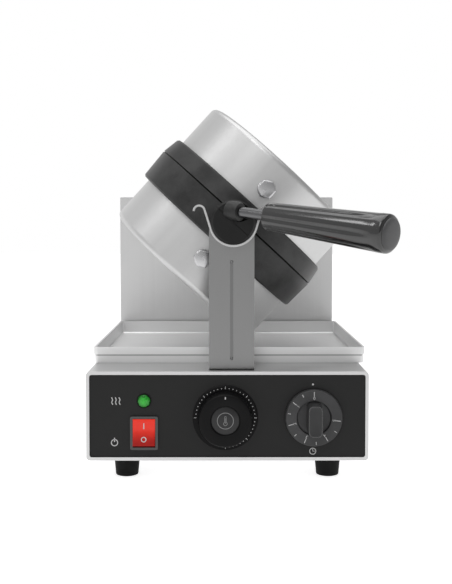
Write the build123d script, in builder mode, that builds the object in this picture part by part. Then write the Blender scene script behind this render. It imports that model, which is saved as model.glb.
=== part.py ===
from build123d import *

import os
from math import asin, cos, degrees, hypot, radians, sin, sqrt

# Rotating waffle maker: a round cast pan that turns over on a front saddle and a rear bearing,
# above a steel base with a drip tray, a thermostat, a timer and a switch.
# Millimetres, +Z up, the front faces -Y.
# The pan stands turned by pan_tilt about its shaft, with its lid closed.
# The origin is on the table under the shaft, below the middle of the whole machine with its handle.

os.makedirs("parts", exist_ok=True)

# Place of the front face before the origin, and of the shaft beside the middle of the base
front_reach = 119.0
shaft_offset = 5.5

# Base: a folded steel box on four rubber feet
base_width = 260.0
base_height = 82.4
foot_height = 22.0
sheet = 1.2
bend_radius = 3.5
rim = 3.0
base_lip = 14.0
plate_margin = 8.0
foot_spacing_x = 192.0
foot_inset_y = 37.0
foot_top_radius = 12.8
foot_bottom_radius = 10.8
foot_recess_radius = 6.5
foot_recess_depth = 9.0
screw_radius = 2.5
screw_clearance = 0.15
screw_head_radius = 4.8
screw_head_height = 2.5
foot_screw_grip = 6.0
vent_length = 44.0
vent_width = 4.0
vent_pitch_x = 60.0
vent_pitch_y = 14.0
vent_columns = 3
vent_rows = 8

# Front panel and its controls, placed from the middle of the front face and the floor
panel_thickness = 2.0
panel_gap = 0.8
panel_corner = 3.0
lamp_x = -76.7
lamp_z = 77.2
lamp_lens_radius = 6.6
lamp_lens_height = 3.6
lamp_lens_round = 2.5
lamp_body_radius = 5.6
lamp_body_length = 20.0
lamp_nut_across = 16.0
lamp_nut_thickness = 3.0
switch_x = -76.7
switch_z = 47.5
switch_bezel_width = 25.6
switch_bezel_height = 31.0
switch_bezel_thickness = 2.0
switch_body_width = 23.3
switch_body_height = 28.9
switch_body_depth = 26.0
switch_wall = 1.2
switch_corner = 1.8
rocker_gap = 0.35
rocker_tilt = 8.0
rocker_travel = 16.0
rocker_rise = 3.2
rocker_pin_radius = 1.5
rocker_pin_depth = 3.0
thermostat_x = -1.9
thermostat_z = 61.7
scale_radius = 30.1
scale_thickness = 1.5
thermostat_cap_radius = 24.8
thermostat_cap_height = 15.0
thermostat_cap_draft = 1.0
thermostat_cap_round = 0.5
thermostat_dish_radius = 12.8
thermostat_dish_depth = 1.2
timer_x = 79.4
timer_z = 62.0
timer_dial_radius = 26.3
timer_dial_height = 5.5
timer_recess_radius = 15.8
timer_recess_depth = 3.0
timer_grip_width = 13.6
timer_grip_rise = 17.0
timer_grip_round = 1.0
timer_dial_draft = 4.0
timer_recess_draft = 8.0
timer_grip_draft = 3.0
knob_gap = 0.6
spindle_radius = 3.0
spindle_length = 16.0
control_body_radius = 17.0
control_body_depth = 26.0
timer_body_width = 46.0
timer_body_depth = 34.0

# Drip tray, loose on the base
tray_overhang = 4.0
tray_depth = 244.0
tray_height = 15.4
tray_setback = 52.0
tray_gap = 0.2
tray_room = 4.0
tray_sheet = 1.0
hem_height = 7.0
hem_thickness = 1.2
tray_corner = 3.0
tray_floor_round = 1.8

# Front support and its saddle
axis_z = 241.3
support_setback = 10.0
support_width = 42.0
support_thickness = 2.0
support_shift = -1.5
support_foot = 30.0
support_screw_spacing = 22.0
bead_width = 3.0
bead_depth = 0.8
bead_low = 9.0
bead_high = 102.0
saddle_radius = 21.0
saddle_sheet = 1.8
saddle_depth = 16.0
saddle_proud = 1.0
saddle_flare = 17.5
saddle_arm = 19.3
curl_radius = 5.1
curl_end = 178.0

# Rear housing, its cover and the bearing
column_depth = 40.0
column_top_z = 271.5
column_sheet = 1.5
column_lip = 14.0
cover_plate_margin = 3.0
wire_hole_radius = 9.0
bearing_flange_radius = 27.0
bearing_flange = 6.0
bearing_chamfer = 1.0
bearing_screw_count = 4
bearing_screw_turn = 45.0
bearing_hub_radius = 20.0
bearing_hub_length = 20.0
bush_radius = 15.0
shaft_radius = 12.0
shaft_bore_radius = 7.0
shaft_clearance = 0.05
fixed_clearance = 0.03
stop_pin_radius = 2.0
stop_pin_circle = 17.5
stop_pin_depth = 8.0
cam_radius = 22.0
cam_thickness = 5.0
cam_gap = 0.5
turn_range = 180.0
stop_play = 1.0
collar_radius = 17.0
collar_length = 5.0
shaft_tail = 2.0

# Pan: two castings that meet at the parting plane, each with a steel cover
pan_tilt = 42.5
pan_setback = 129.0
parting_rise = 6.3
parting_gap = 0.3
ring_radius = 102.0
upper_ring_height = 19.0
lower_ring_height = 32.0
upper_ring_draft = 2.7
lower_ring_draft = 1.5
ring_edge = 0.8
ring_shoulder = 1.6
cavity_radius = 88.0
cavity_draft = 1.5
cavity_depth = 15.5
web_thickness = 9.0
stud_pitch = 15.0
stud_base = 10.6
stud_taper = 8.0
stud_count = 12
stud_margin = 3.5
plate_thickness = 9.5
spigot_radius = 91.5
spigot_wall = 7.5
spigot_height = 6.0
gutter_radius = 96.5
gutter_width = 3.0
gutter_depth = 2.0
heater_circle = 62.0
heater_radius = 4.0
heater_groove_depth = 4.0
heater_groove_margin = 0.4
heater_arc = 330.0
heater_leg = 16.0
clamp_radius = 76.0
clamp_thickness = 3.0
clamp_boss_radius = 12.0
clamp_screw_radius = 4.0
clamp_head_radius = 7.0
clamp_head_height = 5.0
leg_slot_width = 11.0
leg_slot_gap = 1.0
insulation_radius = 76.0
insulation_gap = 3.0
cover_radius = 93.5
cover_sheet = 1.2
cover_corner = 5.5
cover_reach = 74.65
bolt_radius = 5.0
bolt_across = 16.0
bolt_head = 6.4
bolt_length = 20.0
bolt_chamfer = 1.0
bolt_clearance = 0.25
bolt_offset = 19.0
bolt_count = 3
bolt_turn = 1.3
bolt_bore_start = 1.0
lug_depth = 14.0
lug_width = 24.0
lug_overlap = 11.0

# Journals at the front of the two castings, which together lie in the saddle
journal_radius = 20.7
journal_setback = 3.0
journal_chamfer = 2.0
journal_relief = 0.6
hub_relief = 1.0

# Hinge between the castings, at the rear
hinge_reach = 112.0
hinge_rise = 14.0
hinge_spread = 48.0
hinge_knuckle_radius = 9.0
hinge_pin_radius = 4.0
hinge_pin_clearance = 0.06
upper_knuckle_width = 14.0
lower_knuckle_width = 9.0
knuckle_gap = 0.5
hinge_pin_head = 2.0
hinge_pin_head_radius = 6.0

# Rear hub and shaft
hub_radius = 16.5
hub_length = 20.0
shaft_seat_depth = 18.0
cross_pin_radius = 2.5

# Handle, screwed into the upper journal
handle_turn = 49.1
handle_lift = 33.5
handle_root_t = -5.4
handle_root_n = 8.6
handle_seat = 1.5
handle_rod_radius = 5.0
handle_nut_across = 16.0
handle_nut_thickness = 5.0
handle_nut_room = 0.4
handle_thread = 7.5
grip_start = 40.0
grip_length = 125.0
grip_root_radius = 12.4
grip_end_radius = 16.4
grip_collar = 11.0
grip_collar_fillet = 2.0
grip_bore_gap = 0.1
flute_count = 8
flute_share = 0.42
flute_depth = 1.1
end_cap_thickness = 2.4
rod_tail = 12.0

# Cable entry and terminal block in the base
gland_x = -80.0
gland_z = 62.0
gland_radius = 10.0
gland_bore_radius = 4.0
gland_across = 24.0
gland_length = 22.0
gland_draft = 8.0
terminal_width = 60.0
terminal_depth = 22.0
terminal_height = 18.0
terminal_x = 40.0
terminal_y = 60.0

# Small screws
small_screw_radius = 2.0
small_head_radius = 3.9
small_head_height = 2.4

# Places worked out from the sizes above
base_depth = tray_setback + tray_depth + tray_room + column_depth
front_y = -base_depth / 2
back_y = base_depth / 2
tray_width = base_width + tray_overhang
tray_shift = tray_overhang / 2
tray_front_y = front_y + tray_setback
column_front_y = back_y - column_depth
column_middle_y = back_y - column_depth / 2
pan_y = front_y + pan_setback
journal_front_y = front_y + journal_setback
axis_x = shaft_offset
base_middle = Vector(-shaft_offset, -front_reach - front_y, 0)
top_z = foot_height + base_height
floor_z = foot_height + sheet
panel_y = front_y + sheet
panel_bottom = floor_z + sheet + panel_gap
panel_top = top_z - sheet - panel_gap
foot_y = base_depth / 2 - foot_inset_y
base_screw_x = base_width / 2 - base_lip + plate_margin / 2
base_screw_spacing = base_depth / 3
screw_circle = (bearing_hub_radius + bearing_flange_radius) / 2
support_x = axis_x + support_shift
support_y = front_y + support_setback
upper_parting = parting_rise + parting_gap / 2
lower_parting = parting_rise - parting_gap / 2
stud_height = cavity_depth - web_thickness / 2
upper_back = parting_rise + cavity_depth + plate_thickness
lower_back = parting_rise - cavity_depth - plate_thickness
upper_step = parting_rise + upper_ring_height
lower_step = parting_rise - lower_ring_height
journal_length = pan_y - journal_front_y
hinge_knuckle_offset = (upper_knuckle_width + lower_knuckle_width) / 2 + knuckle_gap
wall_circle = (cavity_radius + cavity_draft + ring_radius) / 2
clamp_rise = 2 * heater_radius - heater_groove_depth + 2 * fixed_clearance
hub_end = ring_radius + journal_relief + hub_length
cross_pin_place = (0, hub_length / 2 - hub_end)

tilt = radians(pan_tilt)
across = Vector(cos(tilt), 0, -sin(tilt))
normal = Vector(sin(tilt), 0, cos(tilt))
forward = Vector(0, -1, 0)
pan_centre = base_middle + Vector(axis_x, pan_y, axis_z)
pan_axis = Axis(pan_centre, normal)
quarter = 90.0


def level(z):
    """Level plane at a height above the table, from the middle of the base."""
    return Plane(origin=base_middle + Vector(0, 0, z), x_dir=(1, 0, 0), z_dir=(0, 0, 1))


def facing_front(x, y, z):
    """Plane that faces the front, placed from the middle of the base: local x is +X and local y is up."""
    return Plane(origin=base_middle + Vector(x, y, z), x_dir=(1, 0, 0), z_dir=(0, -1, 0))


def facing_side(x, y, z):
    """Plane that faces right, placed from the middle of the base: local x is +Y and local y is up."""
    return Plane(origin=base_middle + Vector(x, y, z), x_dir=(0, 1, 0), z_dir=(1, 0, 0))


def turned_to_front(x, y, z):
    """Plane for a turned piece on the front: local x is the radius and local y points forward."""
    return Plane(origin=base_middle + Vector(x, y, z), x_dir=(1, 0, 0), z_dir=(0, 0, -1))


def front_axis(x, z):
    """Axis of a turned piece on the front."""
    return Axis(base_middle + Vector(x, 0, z), (0, -1, 0))


def pan_level(height):
    """Plane parallel to the parting plane: local x runs across the pan and local y to the rear."""
    return Plane(origin=pan_centre + normal * height, x_dir=across, z_dir=normal)


def pan_face(distance):
    """Plane square to the shaft, in front of the pan's centre: local x across, local y normal."""
    return Plane(origin=pan_centre + forward * distance, x_dir=across, z_dir=forward)


def pan_side(angle, height):
    """Plane square to a radius of the pan: its normal points outward and local x is the normal."""
    outward = across * cos(radians(angle)) + forward * -sin(radians(angle))
    return Plane(origin=pan_centre + normal * height, x_dir=normal, z_dir=outward)


def handle_at(distance):
    """Plane square to the handle, at a distance from its root along it."""
    turn = radians(handle_turn)
    lift = radians(handle_lift)
    along = across * (sin(turn) * cos(lift)) + normal * (sin(turn) * sin(lift)) + forward * cos(turn)
    root = pan_centre + across * handle_root_t + normal * handle_root_n + forward * journal_length
    return Plane(origin=root + along * distance, x_dir=along.cross(forward).normalized(), z_dir=along)


def ring_depth(t):
    """Distance behind the pan's centre of the middle of the ring's wall, at t across the pan."""
    return sqrt(wall_circle**2 - t**2)


# Base shell: front rim, top, sides and rear wall, open below between its lips
face = facing_front(0, front_y, foot_height + base_height / 2)
with BuildPart() as base_shell:
    with BuildSketch(face):
        RectangleRounded(base_width, base_height, bend_radius)
    extrude(amount=-base_depth)
    with BuildSketch(face.offset(-sheet)):
        RectangleRounded(base_width - 2 * sheet, base_height - 2 * sheet, bend_radius - sheet)
    extrude(amount=2 * sheet - base_depth, mode=Mode.SUBTRACT)
    with BuildSketch(face):
        RectangleRounded(base_width - 2 * rim, base_height - 2 * rim, bend_radius - sheet)
    extrude(amount=-sheet, mode=Mode.SUBTRACT)
    with BuildSketch(level(foot_height)):
        Rectangle(base_width - 2 * base_lip, base_depth - 2 * base_lip)
        with GridLocations(2 * base_screw_x, base_screw_spacing, 2, 3):
            Circle(small_screw_radius + screw_clearance)
    extrude(amount=sheet, mode=Mode.SUBTRACT)
    with BuildSketch(level(top_z)):
        with Locations((support_x, support_y + support_foot / 2)):
            with GridLocations(support_screw_spacing, 0, 2, 1):
                Circle(screw_radius + screw_clearance)
        with Locations((0, column_middle_y)):
            with GridLocations(base_width / 2, 0, 2, 1):
                Circle(small_screw_radius + screw_clearance)
            Circle(wire_hole_radius)
    extrude(amount=-sheet, mode=Mode.SUBTRACT)
    with BuildSketch(facing_front(gland_x, back_y, gland_z)):
        Circle(gland_radius + screw_clearance)
    extrude(amount=sheet, mode=Mode.SUBTRACT)
base_shell.part.label = "base_shell"
export_step(base_shell.part, "parts/base_shell.step")

# Bottom plate, lying on the lips inside the shell, with rows of vents
bottom_width = base_width - 2 * (base_lip - plate_margin)
bottom_depth = base_depth - 2 * (base_lip - plate_margin)
with BuildPart() as bottom_plate:
    with BuildSketch(level(floor_z)):
        Rectangle(bottom_width, bottom_depth)
        with GridLocations(vent_pitch_x, vent_pitch_y, vent_columns, vent_rows):
            SlotOverall(vent_length, vent_width, mode=Mode.SUBTRACT)
        with GridLocations(foot_spacing_x, 2 * foot_y, 2, 2):
            Circle(screw_radius + screw_clearance, mode=Mode.SUBTRACT)
        with GridLocations(2 * base_screw_x, base_screw_spacing, 2, 3):
            Circle(small_screw_radius + screw_clearance, mode=Mode.SUBTRACT)
    extrude(amount=sheet)
bottom_plate.part.label = "bottom_plate"
export_step(bottom_plate.part, "parts/bottom_plate.step")

# Rubber feet against the bottom plate, each with a recess for its screw
upward = (Align.CENTER, Align.CENTER, Align.MIN)
with BuildPart(level(0)) as feet:
    with GridLocations(foot_spacing_x, 2 * foot_y, 2, 2):
        Cone(foot_bottom_radius, foot_top_radius, floor_z, align=upward)
        Cylinder(foot_recess_radius, foot_recess_depth, align=upward, mode=Mode.SUBTRACT)
        Cylinder(screw_radius + screw_clearance, floor_z, align=upward, mode=Mode.SUBTRACT)
feet.part.label = "feet"
export_step(feet.part, "parts/feet.step")

# Foot screws, heads in the recesses and threads through the bottom plate
with BuildPart() as foot_screws:
    with BuildSketch(level(foot_recess_depth)):
        with GridLocations(foot_spacing_x, 2 * foot_y, 2, 2):
            Circle(screw_head_radius)
    extrude(amount=-screw_head_height)
    with BuildSketch(level(foot_recess_depth)):
        with GridLocations(foot_spacing_x, 2 * foot_y, 2, 2):
            Circle(screw_radius)
    extrude(amount=floor_z + sheet + foot_screw_grip - foot_recess_depth)
foot_screws.part.label = "foot_screws"
export_step(foot_screws.part, "parts/foot_screws.step")

# Front panel behind the rim, with an opening for each control
panel_mid = (panel_top + panel_bottom) / 2
with BuildPart() as front_panel:
    with BuildSketch(facing_front(0, panel_y, 0)):
        with Locations((0, panel_mid)):
            RectangleRounded(
                base_width - 2 * sheet - 2 * panel_gap,
                panel_top - panel_bottom,
                panel_corner,
            )
        with Locations((lamp_x, lamp_z)):
            Circle(lamp_body_radius + screw_clearance, mode=Mode.SUBTRACT)
        with Locations((switch_x, switch_z)):
            Rectangle(
                switch_body_width + 2 * screw_clearance,
                switch_body_height + 2 * screw_clearance,
                mode=Mode.SUBTRACT,
            )
        with Locations((thermostat_x, thermostat_z), (timer_x, timer_z)):
            Circle(spindle_radius + screw_clearance, mode=Mode.SUBTRACT)
    extrude(amount=-panel_thickness)
front_panel.part.label = "front_panel"
export_step(front_panel.part, "parts/front_panel.step")

# Indicator lamp: threaded body, lens and nut behind the panel
with BuildPart() as lamp_body:
    with BuildSketch(facing_front(lamp_x, panel_y, lamp_z)):
        Circle(lamp_body_radius)
    extrude(amount=-lamp_body_length)
lamp_body.part.label = "lamp_body"
export_step(lamp_body.part, "parts/lamp_body.step")

with BuildPart() as lamp_lens:
    with BuildSketch(facing_front(lamp_x, panel_y, lamp_z)):
        Circle(lamp_lens_radius)
    extrude(amount=lamp_lens_height)
    fillet(lamp_lens.faces().sort_by(Axis.Y)[0].edges(), lamp_lens_round)
lamp_lens.part.label = "lamp_lens"
export_step(lamp_lens.part, "parts/lamp_lens.step")

with BuildPart() as lamp_nut:
    with BuildSketch(facing_front(lamp_x, panel_y + panel_thickness, lamp_z)):
        RegularPolygon(lamp_nut_across / 2, 6, major_radius=False)
        Circle(lamp_body_radius + fixed_clearance, mode=Mode.SUBTRACT)
    extrude(amount=-lamp_nut_thickness)
lamp_nut.part.label = "lamp_nut"
export_step(lamp_nut.part, "parts/lamp_nut.step")

# Rocker switch: housing with a bezel on the panel, and a rocker on a cross pin
rocker_width = switch_body_width - 2 * switch_wall - 2 * rocker_gap
rocker_sweep = (rocker_pin_depth + switch_bezel_thickness) * sin(radians(rocker_travel / 2))
rocker_height = switch_body_height - 2 * (switch_wall + rocker_gap + rocker_sweep)
pivot_y = panel_y + rocker_pin_depth
well_depth = switch_body_depth - switch_wall - rocker_pin_depth
with BuildPart() as switch_housing:
    with BuildSketch(facing_front(switch_x, panel_y, switch_z)):
        RectangleRounded(switch_bezel_width, switch_bezel_height, switch_corner)
    extrude(amount=switch_bezel_thickness)
    with BuildSketch(facing_front(switch_x, panel_y, switch_z)):
        Rectangle(switch_body_width, switch_body_height)
    extrude(amount=-switch_body_depth)
    with BuildSketch(facing_front(switch_x, panel_y - switch_bezel_thickness, switch_z)):
        Rectangle(switch_body_width - 2 * switch_wall, switch_body_height - 2 * switch_wall)
    extrude(amount=-well_depth, mode=Mode.SUBTRACT)
    with BuildSketch(facing_side(switch_x, pivot_y, switch_z)):
        Circle(rocker_pin_radius + shaft_clearance)
    extrude(amount=switch_body_width / 2, both=True, mode=Mode.SUBTRACT)
switch_housing.part.label = "switch_housing"
export_step(switch_housing.part, "parts/switch_housing.step")

# The rocker's side view is a shallow V in front of its pin; it rests with its top pressed in
rocker_front = rocker_pin_depth + switch_bezel_thickness + rocker_rise
rocker_slope = (rocker_height / 2) * sin(radians(rocker_tilt))
rocker_plane = Plane(
    origin=facing_side(switch_x, pivot_y, switch_z).origin,
    x_dir=forward.rotate(Axis.X, -rocker_travel / 2),
    z_dir=(1, 0, 0),
)
with BuildPart() as rocker:
    with BuildSketch(rocker_plane):
        with BuildLine():
            Polyline(
                (-rocker_pin_radius * 2, -rocker_pin_radius * 2),
                (rocker_pin_radius, -rocker_height / 2),
                (rocker_front, -rocker_height / 2),
                (rocker_front - rocker_slope, 0),
                (rocker_front, rocker_height / 2),
                (rocker_pin_radius, rocker_height / 2),
                (-rocker_pin_radius * 2, rocker_pin_radius * 2),
                close=True,
            )
        make_face()
    extrude(amount=rocker_width / 2, both=True)
    with BuildSketch(rocker_plane):
        Circle(rocker_pin_radius)
    extrude(amount=switch_body_width / 2 - rocker_gap, both=True)
rocker.part.label = "rocker"
export_step(rocker.part, "parts/rocker.step")

# Thermostat: fixed scale ring, knob with a dished cap, spindle and body
with BuildPart() as thermostat_scale:
    with BuildSketch(facing_front(thermostat_x, panel_y, thermostat_z)):
        Circle(scale_radius)
        Circle(spindle_radius + screw_clearance, mode=Mode.SUBTRACT)
    extrude(amount=scale_thickness)
    chamfer(
        thermostat_scale.edges().filter_by(GeomType.CIRCLE).sort_by(SortBy.RADIUS)[-1],
        scale_thickness / 3,
    )
thermostat_scale.part.label = "thermostat_scale"
export_step(thermostat_scale.part, "parts/thermostat_scale.step")

cap_back = scale_thickness + knob_gap
with BuildPart() as thermostat_knob:
    with BuildSketch(turned_to_front(thermostat_x, panel_y, thermostat_z)):
        with BuildLine():
            FilletPolyline(
                (0, cap_back),
                (thermostat_cap_radius, cap_back),
                (thermostat_cap_radius - thermostat_cap_draft, cap_back + thermostat_cap_height),
                (thermostat_dish_radius + thermostat_cap_draft, cap_back + thermostat_cap_height),
                (thermostat_dish_radius, cap_back + thermostat_cap_height - thermostat_dish_depth),
                (0, cap_back + thermostat_cap_height - thermostat_dish_depth),
                radius=thermostat_cap_round,
            )
            Line((0, cap_back + thermostat_cap_height - thermostat_dish_depth), (0, cap_back))
        make_face()
    revolve(axis=front_axis(thermostat_x, thermostat_z))
    with BuildSketch(facing_front(thermostat_x, panel_y - cap_back, thermostat_z)):
        Circle(spindle_radius + fixed_clearance)
    extrude(amount=thermostat_cap_height / 2, mode=Mode.SUBTRACT)
thermostat_knob.part.label = "thermostat_knob"
export_step(thermostat_knob.part, "parts/thermostat_knob.step")

# Timer: dial with a recess and a grip bar across it
timer_plane = facing_front(timer_x, panel_y - knob_gap, timer_z)
recess_floor = timer_dial_height - timer_recess_depth
with BuildPart() as timer_knob:
    with BuildSketch(timer_plane):
        Circle(timer_dial_radius)
    extrude(amount=timer_dial_height, taper=timer_dial_draft)
    with BuildSketch(timer_plane.offset(timer_dial_height)):
        Circle(timer_recess_radius)
    extrude(amount=-timer_recess_depth, taper=timer_recess_draft, mode=Mode.SUBTRACT)
    with BuildSketch(timer_plane.offset(recess_floor)):
        Rectangle(timer_grip_width, 2 * timer_recess_radius)
        Circle(timer_recess_radius - timer_recess_depth / 4, mode=Mode.INTERSECT)
    extrude(amount=timer_recess_depth + timer_grip_rise, taper=timer_grip_draft)
    fillet(timer_knob.faces().sort_by(Axis.Y)[0].edges(), timer_grip_round)
    with BuildSketch(timer_plane):
        Circle(spindle_radius + fixed_clearance)
    extrude(amount=timer_dial_height, mode=Mode.SUBTRACT)
timer_knob.part.label = "timer_knob"
export_step(timer_knob.part, "parts/timer_knob.step")

# Spindles run from inside each knob to the control behind the panel
spindle_reach = timer_dial_height + knob_gap - fixed_clearance
with BuildPart() as thermostat_spindle:
    with BuildSketch(facing_front(thermostat_x, panel_y - cap_back - thermostat_cap_height / 3, thermostat_z)):
        Circle(spindle_radius)
    extrude(amount=-spindle_length)
thermostat_spindle.part.label = "thermostat_spindle"
export_step(thermostat_spindle.part, "parts/thermostat_spindle.step")

with BuildPart() as timer_spindle:
    with BuildSketch(facing_front(timer_x, panel_y - spindle_reach, timer_z)):
        Circle(spindle_radius)
    extrude(amount=-spindle_length)
timer_spindle.part.label = "timer_spindle"
export_step(timer_spindle.part, "parts/timer_spindle.step")

# Control bodies behind the panel, bored for their spindles
control_y = panel_y + panel_thickness
with BuildPart() as thermostat_body:
    with BuildSketch(facing_front(thermostat_x, control_y, thermostat_z)):
        Circle(control_body_radius)
    extrude(amount=-control_body_depth)
    with BuildSketch(facing_front(thermostat_x, control_y, thermostat_z)):
        Circle(spindle_radius + shaft_clearance)
    extrude(amount=-spindle_length, mode=Mode.SUBTRACT)
thermostat_body.part.label = "thermostat_body"
export_step(thermostat_body.part, "parts/thermostat_body.step")

with BuildPart() as timer_body:
    with BuildSketch(facing_front(timer_x, control_y, timer_z)):
        RectangleRounded(timer_body_width, timer_body_width, bend_radius)
    extrude(amount=-timer_body_depth)
    with BuildSketch(facing_front(timer_x, control_y, timer_z)):
        Circle(spindle_radius + shaft_clearance)
    extrude(amount=-spindle_length, mode=Mode.SUBTRACT)
timer_body.part.label = "timer_body"
export_step(timer_body.part, "parts/timer_body.step")

# Drip tray: drawn sheet with a hem folded outward round its rim
tray_bottom = top_z + tray_gap
tray_y = tray_front_y + tray_depth / 2
wall_width = tray_width - 2 * hem_thickness
wall_depth = tray_depth - 2 * hem_thickness
with BuildPart() as drip_tray:
    with BuildSketch(level(tray_bottom)):
        with Locations((tray_shift, tray_y)):
            RectangleRounded(wall_width, wall_depth, tray_corner)
    extrude(amount=tray_height)
    with BuildSketch(level(tray_bottom + tray_height - hem_height)):
        with Locations((tray_shift, tray_y)):
            RectangleRounded(tray_width, tray_depth, tray_corner + hem_thickness)
    extrude(amount=hem_height)
    with BuildSketch(level(tray_bottom + tray_sheet)):
        with Locations((tray_shift, tray_y)):
            RectangleRounded(wall_width - 2 * tray_sheet, wall_depth - 2 * tray_sheet, tray_corner - tray_sheet)
    extrude(amount=tray_height, mode=Mode.SUBTRACT)
    fillet(drip_tray.faces().filter_by(Axis.Z).sort_by(Axis.Z)[1].edges(), tray_floor_round)
drip_tray.part.label = "drip_tray"
export_step(drip_tray.part, "parts/drip_tray.step")

# Front support: an upright bent sheet with a foot, a notch for the saddle and a pressed bead
notch_radius = saddle_radius + saddle_sheet + fixed_clearance
support_height = axis_z - notch_radius * sin(radians(saddle_flare)) - top_z
with BuildPart() as front_support:
    with BuildSketch(facing_side(support_x, 0, 0)) as bend:
        with Locations((support_y, top_z)):
            Rectangle(support_thickness, support_height, align=(Align.MIN, Align.MIN))
            Rectangle(support_foot, support_thickness, align=(Align.MIN, Align.MIN))
        outer_corner = bend.vertices().sort_by_distance((support_y, top_z))[0]
        fillet(outer_corner, 1.5 * support_thickness)
        inner_corner = (support_y + support_thickness, top_z + support_thickness)
        fillet(bend.vertices().sort_by_distance(inner_corner)[0], support_thickness / 2)
    extrude(amount=support_width / 2, both=True)
    with BuildSketch(facing_front(axis_x, support_y, axis_z)):
        Circle(notch_radius)
    extrude(amount=-2 * support_thickness, mode=Mode.SUBTRACT)
    with BuildSketch(facing_front(support_x, support_y, top_z + (bead_low + bead_high) / 2)):
        SlotOverall(bead_high - bead_low, bead_width, rotation=quarter)
    extrude(amount=-bead_depth, mode=Mode.SUBTRACT)
    with BuildSketch(level(top_z)):
        with Locations((support_x, support_y + support_foot / 2)):
            with GridLocations(support_screw_spacing, 0, 2, 1):
                Circle(screw_radius + screw_clearance)
    extrude(amount=support_thickness, mode=Mode.SUBTRACT)
front_support.part.label = "front_support"
export_step(front_support.part, "parts/front_support.step")

# Support screws, down through the foot and the base
with BuildPart() as support_screws:
    with BuildSketch(level(top_z + support_thickness)):
        with Locations((support_x, support_y + support_foot / 2)):
            with GridLocations(support_screw_spacing, 0, 2, 1):
                Circle(screw_head_radius)
    extrude(amount=screw_head_height)
    with BuildSketch(level(top_z + support_thickness)):
        with Locations((support_x, support_y + support_foot / 2)):
            with GridLocations(support_screw_spacing, 0, 2, 1):
                Circle(screw_radius)
    extrude(amount=-support_thickness - sheet - foot_screw_grip)
support_screws.part.label = "support_screws"
export_step(support_screws.part, "parts/support_screws.step")

# Saddle: one bent strip, a cup for the journal with two arms that flare and curl outward
flare = radians(saddle_flare)
saddle_plane = facing_front(axis_x, support_y - saddle_proud, axis_z)


def saddle_side(shift):
    """Arc, arm and curl of the left half of the strip, shifted across its thickness."""
    cup = saddle_radius + saddle_sheet / 2 + shift
    curl = curl_radius - shift
    foot_x = -cup * cos(flare)
    foot_y = -cup * sin(flare)
    head_x = foot_x - saddle_arm * sin(flare)
    head_y = foot_y + saddle_arm * cos(flare)
    centre_x = head_x - curl * cos(flare)
    centre_y = head_y - curl * sin(flare)
    cup_arc = CenterArc((0, 0), cup, 180 + saddle_flare, quarter - saddle_flare)
    arm = Line((foot_x, foot_y), (head_x, head_y))
    curl_arc = CenterArc((centre_x, centre_y), curl, saddle_flare, curl_end - saddle_flare)
    return cup_arc, arm, curl_arc


with BuildPart() as saddle:
    with BuildSketch(saddle_plane) as saddle_profile:
        with BuildLine():
            inner_cup, inner_arm, inner_curl = saddle_side(-saddle_sheet / 2)
            outer_cup, outer_arm, outer_curl = saddle_side(saddle_sheet / 2)
            Line(inner_curl @ 1, outer_curl @ 1)
            Line(inner_cup @ 1, outer_cup @ 1)
        make_face()
        mirror(about=Plane.YZ)
    extrude(amount=-saddle_depth)
saddle.part.label = "saddle"
export_step(saddle.part, "parts/saddle.step")

# Rear housing: a folded box on the base, open at the back inside its lips
column_height = column_top_z - top_z
column_mid = top_z + column_height / 2
column_width = base_width
rear_screw_x = column_width - column_lip
rear_screw_z = column_height - column_lip
with BuildPart() as rear_housing:
    with BuildSketch(facing_front(0, column_front_y, column_mid)):
        Rectangle(column_width, column_height)
    extrude(amount=-column_depth)
    fillet(rear_housing.edges().filter_by(Axis.Y).group_by(Axis.Z)[-1], column_sheet)
    with BuildSketch(facing_front(0, column_front_y + column_sheet, column_mid)):
        Rectangle(column_width - 2 * column_sheet, column_height - 2 * column_sheet)
    extrude(amount=2 * column_sheet - column_depth, mode=Mode.SUBTRACT)
    with BuildSketch(facing_front(0, back_y, column_mid)):
        Rectangle(column_width - 2 * column_lip, column_height - 2 * column_lip)
        with GridLocations(rear_screw_x, rear_screw_z, 2, 2):
            Circle(small_screw_radius + screw_clearance)
    extrude(amount=column_sheet, mode=Mode.SUBTRACT)
    with BuildSketch(facing_front(axis_x, column_front_y, axis_z)):
        Circle(bearing_hub_radius + screw_clearance)
        with PolarLocations(screw_circle, bearing_screw_count, bearing_screw_turn):
            Circle(small_screw_radius + screw_clearance)
    extrude(amount=-column_sheet, mode=Mode.SUBTRACT)
    with BuildSketch(level(top_z)):
        with Locations((0, column_middle_y)):
            with GridLocations(base_width / 2, 0, 2, 1):
                Circle(small_screw_radius + screw_clearance)
            Circle(wire_hole_radius)
    extrude(amount=column_sheet, mode=Mode.SUBTRACT)
rear_housing.part.label = "rear_housing"
export_step(rear_housing.part, "parts/rear_housing.step")

# Screws that hold the rear housing down
with BuildPart() as housing_screws:
    with BuildSketch(level(top_z + column_sheet)):
        with Locations((0, column_middle_y)):
            with GridLocations(base_width / 2, 0, 2, 1):
                Circle(small_head_radius)
    extrude(amount=small_head_height)
    with BuildSketch(level(top_z + column_sheet)):
        with Locations((0, column_middle_y)):
            with GridLocations(base_width / 2, 0, 2, 1):
                Circle(small_screw_radius)
    extrude(amount=-column_sheet - sheet - small_head_radius)
housing_screws.part.label = "housing_screws"
export_step(housing_screws.part, "parts/housing_screws.step")

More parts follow.
